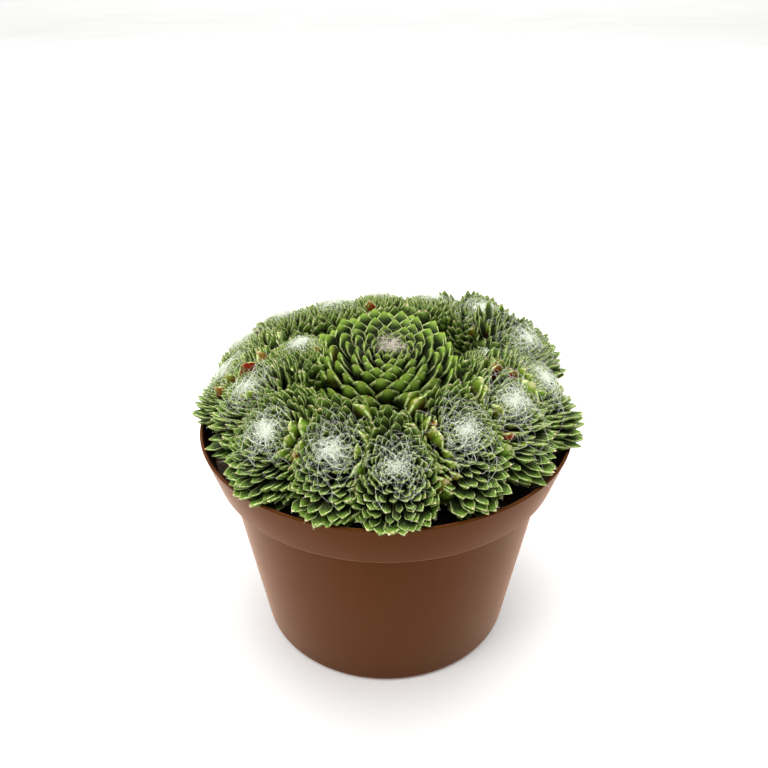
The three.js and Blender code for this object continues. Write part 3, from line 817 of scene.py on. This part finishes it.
# %% The cobweb tree's inputs: tips are counted from the youngest, and lengths are in metres
COBWEB_INPUTS = {
    "Tips": "Geometry", "Skin": "Material", "Threads": 300, "Youngest tip": 0.0,
    "Oldest tip": 90.0, "Crowding": 1.0, "Shortest": 0.002, "Longest": 0.009, "Loose": 0.0,
    "Inward": 0.0, "Lift": 0.12, "Waver": 0.0004, "Thinnest": 0.00004, "Thickest": 0.00011,
    "Bends": 6, "Seed": 1,
}
SHORTEST_KEPT = 0.0005    # a thread between two tips that are nearer than this is left out
cobweb, given, leave = new_tree(
    "Cobweb", "GeometryNodeTree", COBWEB_INPUTS, {"Threads": "Geometry"})
index = add(cobweb, "GeometryNodeInputIndex")
print("cobweb inputs:", len(given))


# %% Choose two tips for each thread
def draw(number, low, high, kind="FLOAT"):
    """A random number or vector for each thread."""
    seed = given["Seed"] * 17 + float(number)
    return add(cobweb, "FunctionNodeRandomValue", low, high, index, seed, data_type=kind)


def at_tip(value, which, kind="FLOAT_VECTOR"):
    return add(cobweb, "GeometryNodeSampleIndex", given["Tips"], value, which, data_type=kind)


place = add(cobweb, "GeometryNodeInputPosition")
outward = add(cobweb, "GeometryNodeInputNamedAttribute", "outward", data_type="FLOAT_VECTOR")
span = given["Oldest tip"] - given["Youngest tip"]
first = given["Youngest tip"] + span * draw(1, 0.0, 1.0) ** given["Crowding"]
start, off = at_tip(place, first), at_tip(outward, first)
stray = draw(2, (-1, -1, -1), (1, 1, 1), "FLOAT_VECTOR").normal()
stray = (stray - off * stray.dot(off) * 0.85).normal()
stray = stray + off * given["Loose"] * draw(3, 0.0, 0.6)
inward = (at_tip(place, 0) - start).normal()
stray = stray + inward * given["Inward"]
goal = start + stray.normal() * draw(4, given["Shortest"], given["Longest"])
nearest = add(cobweb, "GeometryNodeSampleNearest", given["Tips"], goal)
holds = draw(5, 0.0, 1.0) > given["Loose"]
end = holds.blend(goal, at_tip(place, nearest))
tell(cobweb)

# %% Note both ends on the threads' points
threads = add(cobweb, "GeometryNodePoints", given["Threads"])
ends = {"start": start, "end": end, "off": off}
threads = store(cobweb, threads, ends, data_type="FLOAT_VECTOR")
girth = (draw(6, 0.0, 1.0) ** 2.0).blend(given["Thinnest"], given["Thickest"])
threads = store(cobweb, threads, {"girth": girth, "tint": draw(7, 0.0, 1.0)})
known = {name: add(cobweb, "GeometryNodeInputNamedAttribute", name, data_type="FLOAT_VECTOR")
         for name in ends}
reach = (known["end"] - known["start"]).length()
threads = add(cobweb, "GeometryNodeDeleteGeometry", threads, reach < SHORTEST_KEPT,
              domain="POINT")
tell(cobweb)

# %% Bend a thread between them, thin at its ends
straight = add(cobweb, "GeometryNodeCurvePrimitiveLine", (0, 0, 0), (0, 0, 1))
straight = add(cobweb, "GeometryNodeResampleCurve", straight, None, given["Bends"])
threads = add(cobweb, "GeometryNodeInstanceOnPoints", threads, None, straight)
threads = add(cobweb, "GeometryNodeRealizeInstances", threads)
share = add(cobweb, "GeometryNodeSplineParameter")
arch = share * (1.0 - share) * 4.0
wave = add(cobweb, "ShaderNodeTexNoise", place + known["start"] * 900.0, 2.5, 1.0, out=1)
path = share.blend(known["start"], known["end"])
path = path + known["off"] * (arch * reach * given["Lift"] + 0.0001)
path = path + (wave - (0.5, 0.5, 0.5)) * (arch * given["Waver"] * 2.0)
threads = add(cobweb, "GeometryNodeSetPosition", threads, None, path)
ring = add(cobweb, "GeometryNodeCurvePrimitiveCircle", 3, 1.0)
thickness = add(cobweb, "GeometryNodeInputNamedAttribute", "girth", data_type="FLOAT")
thickness = thickness * (arch.root() * 0.6 + 0.4)
threads = add(cobweb, "GeometryNodeCurveToMesh", threads, ring, thickness, True)
threads = add(cobweb, "GeometryNodeSetMaterial", threads, None, given["Skin"])
send(cobweb, threads, leave.inputs[0])
tell(cobweb)

# %% [markdown]
# ## The look of the hairs
# The hairs are white and slightly silky. Seen close, some are creamier and some have caught
# dust, so their colour and roughness drift along the threads and from one to the next.

# %% Cobweb skin
def hair_material(name, clean, dusty, glow):
    """glow stands for the light that fine hairs scatter among themselves."""
    made, tree, surface = new_material(name, **{
        "Sheen Weight": 0.3, "IOR": 1.4, "Emission Color": clean, "Emission Strength": glow})
    drift = noise(tree, 900.0) * 0.7 + attribute(tree, "tint") * 0.5
    send(tree, drift.mapped(0.35, 0.85).blend(clean, dusty),
         surface.inputs["Base Color"])
    send(tree, drift.mapped(0.3, 0.9, 0.45, 0.75), surface.inputs["Roughness"])
    return made


web_skin = hair_material("cobweb_hair", srgb(249, 252, 244), srgb(216, 221, 198), 0.23)
bud_skin = hair_material("bud_wool", srgb(246, 238, 228), srgb(208, 192, 166), 0.06)
print("hair skins:", web_skin.name, bud_skin.name)

# %% [markdown]
# ## Spin the webs
# A chick's web has four layers: a felt that covers the middle, a net round it, a few long
# strands, and tufts of loose hair on the tips. The hen's hairs stay near its bud. Each layer is
# one row of numbers for the cobweb tree, and the layers of a plant are joined into one piece.
# How thick the felt is and how far the net reaches differs from chick to chick.

# %% Tips and layers
HUB_DEPTH = 0.018    # the way out of a rosette leads from a point this far below its middle


def tips_of(name):
    """The leaf tips of a grown rosette, youngest first, with the way out of the rosette."""
    tips = leaf_points(name)[:, -1]
    outward = tips - (PLANTS[name]["middle"] - PLANTS[name]["axis"] * HUB_DEPTH)
    outward /= np.linalg.norm(outward, axis=1, keepdims=True)
    cloud = mesh_of(f"{name}_tips", tips)
    cloud.attributes.new("outward", "FLOAT_VECTOR", "POINT").data.foreach_set(
        "vector", outward.ravel())
    return cloud


def join(name, objects):
    """One mesh object of several, with their materials and attributes."""
    with bpy.context.temp_override(active_object=objects[0], object=objects[0],
                                   selected_objects=objects, selected_editable_objects=objects):
        bpy.ops.object.join()
    objects[0].name = objects[0].data.name = name
    return objects[0]


LAYER_SIZES = ("Threads", "Youngest tip", "Oldest tip", "Crowding", "Shortest", "Longest",
               "Loose", "Inward", "Lift", "Waver", "Thinnest", "Thickest", "Bends")


def spin_web(name, hair, layers, seed):
    """Grows several layers of threads on a rosette's tips and joins them into one piece."""
    spun = [grow(f"{name}_web_{i}", cobweb, tips_of(name), **{
        "Skin": hair, "Seed": seed * 10 + i, **dict(zip(LAYER_SIZES, layer))})
        for i, layer in enumerate(layers)]
    return join(f"{name}_cobweb", spun)


def chick_layers(web, felt, tips, tufts):
    """The felt in the middle, the net round it, a few long strands, and the tufts on the tips.
    web is how many tips the net reaches, felt how thickly the middle is covered, and tufts how
    many loose hairs stand on each tip."""
    return [
        (int(360 * felt), 0.0, web * 0.27, 1.4, 0.001, 0.0036,
         0.0, 0.0, 0.12, 0.0006, 0.00003, 0.00007, 4),
        (int(web * 2.7), 0.0, web * 0.95, 1.0, 0.0014, 0.005,
         0.0, 0.0, 0.07, 0.0008, 0.00002, 0.000048, 4),
        (36, web * 0.3, web * 0.9, 1.0, 0.004, 0.008,
         0.0, 1.4, 0.07, 0.0009, 0.000024, 0.000046, 6),
        (int(tips * tufts), 0.0, float(tips), 1.0, 0.0002, 0.0006,
         1.0, 0.0, 0.1, 0.0001, 0.00004, 0.0001, 3)]


print("a web's layers take", len(LAYER_SIZES), "numbers each")

# %% Spin
HEN_LAYERS = [
    (640, 0.0, 13.0, 0.9, 0.0008, 0.003, 0.4, 0.0, 0.16, 0.001, 0.000026, 0.000066, 5),
    (60, 7.0, 14.0, 1.0, 0.001, 0.003, 0.0, 0.0, 0.05, 0.0003, 0.00002, 0.00005, 4),
    (40, 8.0, 46.0, 1.0, 0.003, 0.008, 0.0, 0.0, 0.03, 0.0003, 0.000015, 0.00003, 4),
    (420, 4.0, 90.0, 1.0, 0.0002, 0.0005, 1.0, 0.0, 0.1, 0.0001, 0.00002, 0.00005, 3)]
HEN_WEB_SEED = 19
FELT = {1: 1.5, 2: 1.2, 3: 0.34, 4: 0.85, 5: 1.4, 6: 0.9, 7: 1.2, 8: 1.3, 10: 0.35, 17: 0.03}
NETTED = {1: 0.3, 3: 0.28, 5: 0.4, 6: 0.42, 7: 0.45, 8: 0.4, 9: 0.2, 10: 0.15, 11: 0.24,
          12: 0.24, 16: 0.22, 17: 0.06}    # the share of a chick's tips that the net reaches
THIN_TUFTS = range(9, 14)
WEBS = {"hen": spin_web("hen", bud_skin, HEN_LAYERS, HEN_WEB_SEED)}
for name, here in list(PLANTS.items())[1:]:
    number = here["number"]
    tips = len(ROSETTES[name].data.vertices) // LEAF_POINTS
    layers = chick_layers(tips * NETTED.get(number, 0.33), FELT.get(number, 0.75), tips,
                          1.0 if number in THIN_TUFTS else 2.0)
    WEBS[name] = spin_web(name, web_skin, layers, number)
print({name: len(web.data.polygons) for name, web in WEBS.items()})

# %% [markdown]
# ## Weathered matter
# Plastic, dead leaves, bark-brown stems and potting mix have one thing in common: a ground
# colour that drifts in patches, a fine grain, and dust or grit on it. One shader group makes
# that, and each material gives it its own colours and scale.

# %% Weathered matter group
matter, made_of, leave = new_tree(
    "Weathered matter", "ShaderNodeTree", {
        "Ground": "Color", "Patch": "Color", "Dust": "Color", "Patch scale": 60.0,
        "Grain scale": 1500.0, "Patchiness": 0.5, "Dustiness": 0.1, "Smooth": 0.4,
        "Rough": 0.6, "Streak": (1, 1, 1)}, SKIN_OUTPUTS)
coordinates = add(matter, "ShaderNodeTexCoord").also("Object")
drawn = add(matter, "ShaderNodeMapping", coordinates, None, None, made_of["Streak"])
patches = add(matter, "ShaderNodeTexNoise", drawn, made_of["Patch scale"], 3.0)
grain = add(matter, "ShaderNodeTexNoise", coordinates, made_of["Grain scale"], 3.0)
share = patches.mapped(0.35, 0.65) * made_of["Patchiness"] + (grain - 0.5) * 0.5
colour = share.most(0.0).blend(made_of["Ground"], made_of["Patch"])
flecks = add(matter, "ShaderNodeTexNoise", coordinates, made_of["Grain scale"] * 0.3, 4.0)
dust = (flecks + made_of["Dustiness"] * 0.35).mapped(0.62, 0.75) * made_of["Dustiness"]
colour = dust.least(1.0).blend(colour, made_of["Dust"])
send(matter, colour, leave.inputs["Color"])
rough = (patches * 0.6 + grain * 0.4 + dust).mapped(0.3, 0.8)
rough = rough.blend(made_of["Smooth"], made_of["Rough"])
send(matter, rough, leave.inputs["Roughness"])
send(matter, grain * 0.7 + patches * 0.3 + dust, leave.inputs["Height"])


def weathered(name, ground, patch, dust, sizes, bump, depth, streak=(1, 1, 1), **sockets):
    """sizes are patch scale, grain scale, patchiness, dustiness, and the two roughnesses."""
    names = ("Patch scale", "Grain scale", "Patchiness", "Dustiness", "Smooth", "Rough")
    return finished(name, matter, {
        "Ground": srgb(*ground), "Patch": srgb(*patch), "Dust": srgb(*dust),
        "Streak": streak, **dict(zip(names, sizes))}, bump, depth, **sockets)


tell(matter)

# %% [markdown]
# ## The pot
# It is one thin shell of injected brown plastic: a tapering body, a step, a flared collar that
# stiffens the rim, and drainage holes in the base. A lathe's outline says all of that, so the
# outline is drawn once with its corners rounded, turned about Z, and the holes are cut last.


# %% Turned shells
def rounded(corners, steps=5):
    """An outline of (radius, height, rounding) corners, with each corner drawn as an arc."""
    outline = []
    for i, (x, z, rounding) in enumerate(corners):
        here = np.array([x, z])
        if rounding == 0 or i in (0, len(corners) - 1):
            outline.append(here)
            continue
        before = np.array(corners[i - 1][:2]) - here
        after = np.array(corners[i + 1][:2]) - here
        start, end = here + unit(before) * rounding, here + unit(after) * rounding
        for step in range(steps + 1):
            t = step / steps
            outline.append((1 - t) ** 2 * start + 2 * t * (1 - t) * here + t ** 2 * end)
    return np.array(outline)


def turn_shell(name, outline, segments):
    """A closed shell turned about Z from an outline in mm that runs from axis to axis."""
    points, rings = [], []
    for x, z in outline * MM:
        count = 1 if x < 1e-7 else segments
        rings.append(range(len(points), len(points) + count))
        points += [(x * math.cos(2 * math.pi * i / segments),
                    x * math.sin(2 * math.pi * i / segments), z) for i in range(count)]
    faces = []
    for low, high in zip(rings, rings[1:]):
        for i in range(segments):
            a, b = low[i % len(low)], low[(i + 1) % len(low)]
            c, d = high[(i + 1) % len(high)], high[i % len(high)]
            faces.append([v for n, v in enumerate((a, b, c, d)) if v not in (a, b, c, d)[:n]])
    return mesh_of(name, points, faces)


print("a square corner, rounded:", len(rounded([(0, 0, 0), (1, 0, 0.2), (1, 1, 0)])), "points")

# %% The pot and its drainage holes, in millimetres
STEP_RADIUS, STEP_HEIGHT = 64.9, 71.5    # where the collar starts, outside
RIM_RADIUS = 70
POT_OUTLINE = rounded([
    (0, 0, 0), (50, 0, 2.4), (61.2, STEP_HEIGHT, 0.5), (STEP_RADIUS, STEP_HEIGHT, 0.7),
    (RIM_RADIUS, RIM_HEIGHT, 0.66), (68.6, RIM_HEIGHT, 0.66), (63.5, 72.9, 0.6),
    (59.8, STEP_HEIGHT, 0.6), (48.8, 2, 1.5), (0, 2, 0)])
HOLES, HOLE_RADIUS, HOLES_FROM_AXIS = 6, 4, 33
pot = link("nursery_pot", turn_shell("nursery_pot", POT_OUTLINE, 160))
drills = bmesh.new()
for i in range(HOLES):
    x, y, _ = polar(360 / HOLES * (i + 0.5), HOLES_FROM_AXIS * MM)
    made = bmesh.ops.create_cone(
        drills, cap_ends=True, segments=32, radius1=HOLE_RADIUS * MM,
        radius2=HOLE_RADIUS * MM, depth=2 * HOLE_RADIUS * MM)
    bmesh.ops.translate(drills, verts=made["verts"], vec=(x, y, 0))
drill_mesh = bpy.data.meshes.new("drills")
drills.to_mesh(drill_mesh)
drill = link("drills", drill_mesh)
cut = pot.modifiers.new("Drainage holes", "BOOLEAN")
cut.object, cut.solver = drill, "EXACT"
settle(pot)
bpy.data.objects.remove(drill)
pot.data.polygons.foreach_set("use_smooth", [True] * len(pot.data.polygons))
pot.data.set_sharp_from_angle(angle=math.radians(35))
print("pot:", len(pot.data.polygons), "faces")

# %% Pot plastic: a painted sheen that grows towards grazing angles, and painted shade inside
pot_plastic = weathered(
    "brown_pot_plastic", (88, 47, 15), (81, 43, 12), (108, 68, 38),
    (26.0, 2400.0, 0.6, 0.12, 0.36, 0.5), 0.12, 0.0002, streak=(1, 1, 0.15),
    **{"IOR": 1.5, "Specular IOR Level": 0.02})
tree = pot_plastic.node_tree
base_color = tree.nodes["Principled BSDF"].inputs["Base Color"]
where = add(tree, "ShaderNodeNewGeometry")
outward = where.maths("MULTIPLY", (1, 1, 0)).normal()
# Painted shade: the inner side of the wall turns near black.
painted_inner_shade = outward.dot(where.also("Normal")).mapped(-0.2, -0.5)
# Painted sheen: the colour pales towards grazing angles, standing in for the white surround
# reflected there.
sheen = add(tree, "ShaderNodeLayerWeight", 0.5, out=1) ** 4.0
colour = Field(tree, base_color.links[0].from_socket)
colour = (sheen * 0.9).blend(colour, srgb(206, 160, 132))
colour = painted_inner_shade.blend(colour, srgb(34, 14, 10))
send(tree, colour, base_color)
pot.data.materials.clear()
pot.data.materials.append(pot_plastic)
print("pot plastic:", len(tree.nodes), "nodes")

# %% [markdown]
# ## The potting mix
# Peat, bark crumbs and a little pale grit fill the pot to below the rim. Only a crescent of it
# shows, dark between leaves and pot. The plug is turned like the pot, and a Geometry Nodes tree
# roughens its top and scatters crumbs of three kinds over it.

# %% Mix, grit and crumbs
mix_skin = weathered(
    "potting_mix_skin", (38, 27, 20), (62, 44, 31), (110, 88, 66),
    (300.0, 2200.0, 0.8, 0.4, 0.8, 0.98), 0.9, 0.0006)
grit_skin = weathered(
    "pale_grit_skin", (150, 140, 124), (112, 92, 70), (60, 46, 34),
    (500.0, 3000.0, 0.9, 0.6, 0.7, 0.95), 0.6, 0.0003)


def crumb(name, seed, stretch):
    """A lumpy crumb of twenty faces."""
    lump = bmesh.new()
    bmesh.ops.create_icosphere(lump, subdivisions=1, radius=0.5)
    random = np.random.default_rng(seed)
    for vertex in lump.verts:
        vertex.co *= random.uniform(0.7, 1.2)
        vertex.co = [a * b for a, b in zip(vertex.co, stretch)]
    mesh = bpy.data.meshes.new(name)
    lump.to_mesh(mesh)
    lump.free()
    return mesh


CRUMBS = leaf_collection("crumb", [crumb("crumb_peat", 1, (1, 0.9, 0.7)),
                                   crumb("crumb_bark", 2, (1.6, 0.8, 0.35)),
                                   crumb("crumb_lump", 3, (0.8, 0.9, 0.8))])

# %% The mix tree
mix_tree, given, leave = new_tree("Potting mix", "GeometryNodeTree", {
    "Plug": "Geometry", "Crumbs": "Collection", "Mix": "Material", "Grit": "Material",
    "Crumbs a square metre": 170000.0, "Grit share": 0.04, "Smallest crumb": 0.0006,
    "Largest crumb": 0.0024, "Roughness of the top": 0.0011, "Seed": 5}, {"Mix": "Geometry"})
spot = add(mix_tree, "GeometryNodeInputPosition")
upward = add(mix_tree, "GeometryNodeInputNormal")
top = split(mix_tree, upward)[0] > 0.6
lumps = add(mix_tree, "ShaderNodeTexNoise", spot, 260.0, 4.0) - 0.5
rise = add(mix_tree, "ShaderNodeCombineXYZ", None, None,
           lumps * top * given["Roughness of the top"] * 2.0)
ground = add(mix_tree, "GeometryNodeSetPosition", given["Plug"], None, None, rise)
ground = add(mix_tree, "GeometryNodeSetMaterial", ground, None, given["Mix"])
scatter = add(mix_tree, "GeometryNodeDistributePointsOnFaces", ground, top,
              given["Crumbs a square metre"], given["Seed"])
shapes = add(mix_tree, "GeometryNodeCollectionInfo", given["Crumbs"], True, True)
tumble = add(mix_tree, "FunctionNodeRandomValue", (0, 0, 0), (6.28, 6.28, 6.28), None,
             given["Seed"], data_type="FLOAT_VECTOR")    # turned any way round, in radians
size = add(mix_tree, "FunctionNodeRandomValue", 0.0, 1.0, None, given["Seed"] + 1.0,
           data_type="FLOAT") ** 2.5
size = size.blend(given["Smallest crumb"], given["Largest crumb"])
crumbs = add(mix_tree, "GeometryNodeInstanceOnPoints", scatter, None, shapes, True, None,
             tumble, size)
pale = add(mix_tree, "FunctionNodeRandomValue", given["Grit share"], None,
           given["Seed"] + 2.0, data_type="BOOLEAN")
crumbs = store(mix_tree, crumbs, {"pale": pale}, data_type="BOOLEAN", domain="INSTANCE")
crumbs = add(mix_tree, "GeometryNodeRealizeInstances", crumbs)
crumbs = add(mix_tree, "GeometryNodeSetMaterial", crumbs, None, given["Mix"])
is_pale = add(mix_tree, "GeometryNodeInputNamedAttribute", "pale", data_type="BOOLEAN")
crumbs = add(mix_tree, "GeometryNodeSetMaterial", crumbs, is_pale, given["Grit"])
both = mix_tree.nodes.new("GeometryNodeJoinGeometry")
send(mix_tree, crumbs, both.inputs[0])
send(mix_tree, ground, both.inputs[0])
mix_tree.links.new(both.outputs[0], leave.inputs[0])
tell(mix_tree)


# %% Fill the pot
MIX_BELOW_RIM, MIX_SLOPE = 2, 8    # in the middle, and how much lower at the step's radius


def mix_height(radius):
    """Height of the mix at a distance from the pot's axis, both in millimetres."""
    return RIM_HEIGHT - MIX_BELOW_RIM - MIX_SLOPE * (radius / STEP_RADIUS) ** 2


WALL_AND_GAP = 1.9
MIX_ABOVE_STEP = 7
flare = (RIM_RADIUS - STEP_RADIUS) / (RIM_HEIGHT - STEP_HEIGHT)
edge_of_mix = STEP_RADIUS + flare * MIX_ABOVE_STEP - WALL_AND_GAP
plug = [(0, 2.3), (48.2, 2.3), (59.3, STEP_HEIGHT), (63, 73.4)]    # just inside the pot's wall
plug += [(r, mix_height(r)) for r in np.linspace(edge_of_mix, 0, 56)]
mix = grow("potting_mix_filling", mix_tree, turn_shell("plug", np.array(plug), 140), **{
    "Crumbs": CRUMBS, "Mix": mix_skin, "Grit": grit_skin})
print("mix:", len(mix.data.polygons), "faces")

# %% [markdown]
# ## Stems, dead leaves and runners
# Under each rosette stands a short brown stem, and the lowest leaves have dried to papery
# flaps that hang round it. Runners, the cords by which a hen puts out its chicks, still lie on
# the mix. A stem and a runner are both a line with a thickness, so one small tree makes both,
# and the rosette tree makes the dead leaves, with other sizes and another skin.

# %% Stem skins
stem_skin = weathered(
    "stem_bark", (104, 84, 52), (74, 56, 36), (140, 118, 84),
    (240.0, 1800.0, 0.8, 0.3, 0.65, 0.9), 0.5, 0.0004)
runner_skin = weathered(
    "runner_bark", (132, 100, 64), (120, 70, 46), (164, 138, 100),
    (200.0, 1800.0, 0.7, 0.3, 0.55, 0.85), 0.4, 0.0003)
dead_skin = weathered(
    "dead_leaf_paper", (126, 98, 64), (86, 60, 38), (176, 150, 112),
    (350.0, 1600.0, 0.9, 0.3, 0.7, 0.95), 0.6, 0.0004)
print("stem skins:", stem_skin.name, runner_skin.name, dead_skin.name)

# %% Stem tree
stalk, given, leave = new_tree("Stalk", "GeometryNodeTree", {
    "Line": "Geometry", "Skin": "Material", "Thickness": 0.003, "End thickness": 0.002,
    "Rings": 0.08, "Steps": 24, "Sides": 12}, {"Stalk": "Geometry"})
line = add(stalk, "GeometryNodeMeshToCurve", given["Line"])
line = add(stalk, "GeometryNodeResampleCurve", line, None, given["Steps"])
share = add(stalk, "GeometryNodeSplineParameter")
spot = add(stalk, "GeometryNodeInputPosition")
knots = add(stalk, "ShaderNodeTexNoise", spot, 420.0, 2.0) - 0.5
rings = (share * 70.0).sine() * given["Rings"] + 1.0 + knots * 0.3
middle_share = (share * (1.0 - share) * 4.0).root()
girth = middle_share.blend(given["End thickness"], given["Thickness"]) * rings
ring = add(stalk, "GeometryNodeCurvePrimitiveCircle", given["Sides"], 1.0)
stalk_mesh = add(stalk, "GeometryNodeCurveToMesh", line, ring, girth, True)
stalk_mesh = add(stalk, "GeometryNodeSetShadeSmooth", stalk_mesh, None, True)
stalk_mesh = add(stalk, "GeometryNodeSetMaterial", stalk_mesh, None, given["Skin"])
send(stalk, stalk_mesh, leave.inputs[0])
tell(stalk)


# %% Stems with their dead leaves
def line_mesh(name, points):
    return mesh_of(name, points, edges=[(i, i + 1) for i in range(len(points) - 1)])


DEAD_LEAVES = leaf_collection("dead_leaf", [
    leaf_shape("dead_leaf_small", POINTED, 0.1, 0.03, 0.05),
    leaf_shape("dead_leaf_curled", POINTED, -0.3, 0.03, 0.05),
    leaf_shape("dead_leaf_wide", BROAD, -0.15, 0.03, 0.05)])
STEM_IN_MIX = 0.008
STEM_IN_CROWN = 0.004
DEAD_SEED = 70
STEMS = {}
for name, here in PLANTS.items():
    foot = here["crown"] * [0.9, 0.9, 0]
    foot[2] = mix_height(np.hypot(foot[0], foot[1]) / MM) * MM
    here["foot"] = foot
    root = foot - unit(here["crown"] - foot) * STEM_IN_MIX
    stem = grow(f"{name}_stalk", stalk, line_mesh("stem", [
        root, foot, here["crown"] + here["axis"] * STEM_IN_CROWN]), **{
        "Skin": stem_skin, "Thickness": here["stem_radius"] * 0.96,
        "End thickness": here["stem_radius"] * 0.7})
    many = here["number"] == 0 or here["number"] in LONG_SKIRTS
    dead = grow_rosette(name, "dead_leaves", DEAD_LEAVES, dead_skin, **{
        "Reach out": here["out"] * 0.6, "Reach back": here["back"] * 0.6,
        "Reach aside": here["half_width"] * 0.65, "Leaves": 44 if many else 24,
        "Leaves on the dome": 1, "Dome drop": here["height"] * 0.9, "Skirt depth": 0.008,
        "Skirt tuck": 0.4, "Young foot depth": here["height"] * 0.95,
        "Old foot depth": here["height"] * 1.15, "Young width": 0.004, "Old width": 0.0055,
        "Unevenness": 3.0, "Crown share": 0.25, "Old crown share": 0.25,
        "Seed": DEAD_SEED + here["number"]})
    STEMS[name] = join(f"{name}_stem_with_dead_leaves", [stem, dead])
print("stems:", len(STEMS))

# %% Runners on the mix
RUNNER_LIES = 1.5    # millimetres from the mix to the middle of a runner
RUNNERS = {}
for number in RUNNERS_TO:
    start, end = PLANTS["hen"]["foot"], PLANTS[f"chick_{number:02d}"]["foot"]
    points = []
    for t in np.linspace(0.12, 0.9, 9):
        point = start + (end - start) * t
        point[2] = (mix_height(np.hypot(point[0], point[1]) / MM) + RUNNER_LIES) * MM
        points.append(point)
    RUNNERS[number] = grow(f"runner_to_chick_{number:02d}_cord", stalk, line_mesh(
        "runner", points), **{"Skin": runner_skin, "Thickness": 0.0012,
                              "End thickness": 0.0009, "Rings": 0.05, "Steps": 40, "Sides": 8})
print("runners:", len(RUNNERS))

# %% [markdown]
# ## Attach the pieces
# Every piece rides on the root body, and the CAD nodes that it stands for are hidden.

# %% Ride, hide the replaced nodes, count triangles
HEN_NODES = sorted(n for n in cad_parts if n.startswith("hen_") and n != "hen_stem")
PIECES = [(pot, "pot_plastic", ["pot"]), (mix, "potting_mix", ["potting_mix"]),
          (ROSETTES["hen"], "hen_leaf", HEN_NODES)]
for name, here in PLANTS.items():
    slot = "chick_leaf" if here["number"] else "hen_leaf"
    PIECES += [(STEMS[name], "stem", [f"{name}_stem"]), (WEBS[name], slot, [])]
    if here["number"]:
        PIECES.append((ROSETTES[name], slot, [f"{name}_leaves"]))
for number, runner in RUNNERS.items():
    PIECES.append((runner, "runner", [f"runner_to_chick_{number:02d}"]))
faces = 0
for piece, slot, nodes in PIECES:
    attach(piece, "root")
    if nodes:
        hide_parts(*nodes)
    piece.data.calc_loop_triangles()
    faces += len(piece.data.loop_triangles)
print(len(PIECES), "pieces,", faces, "triangles")
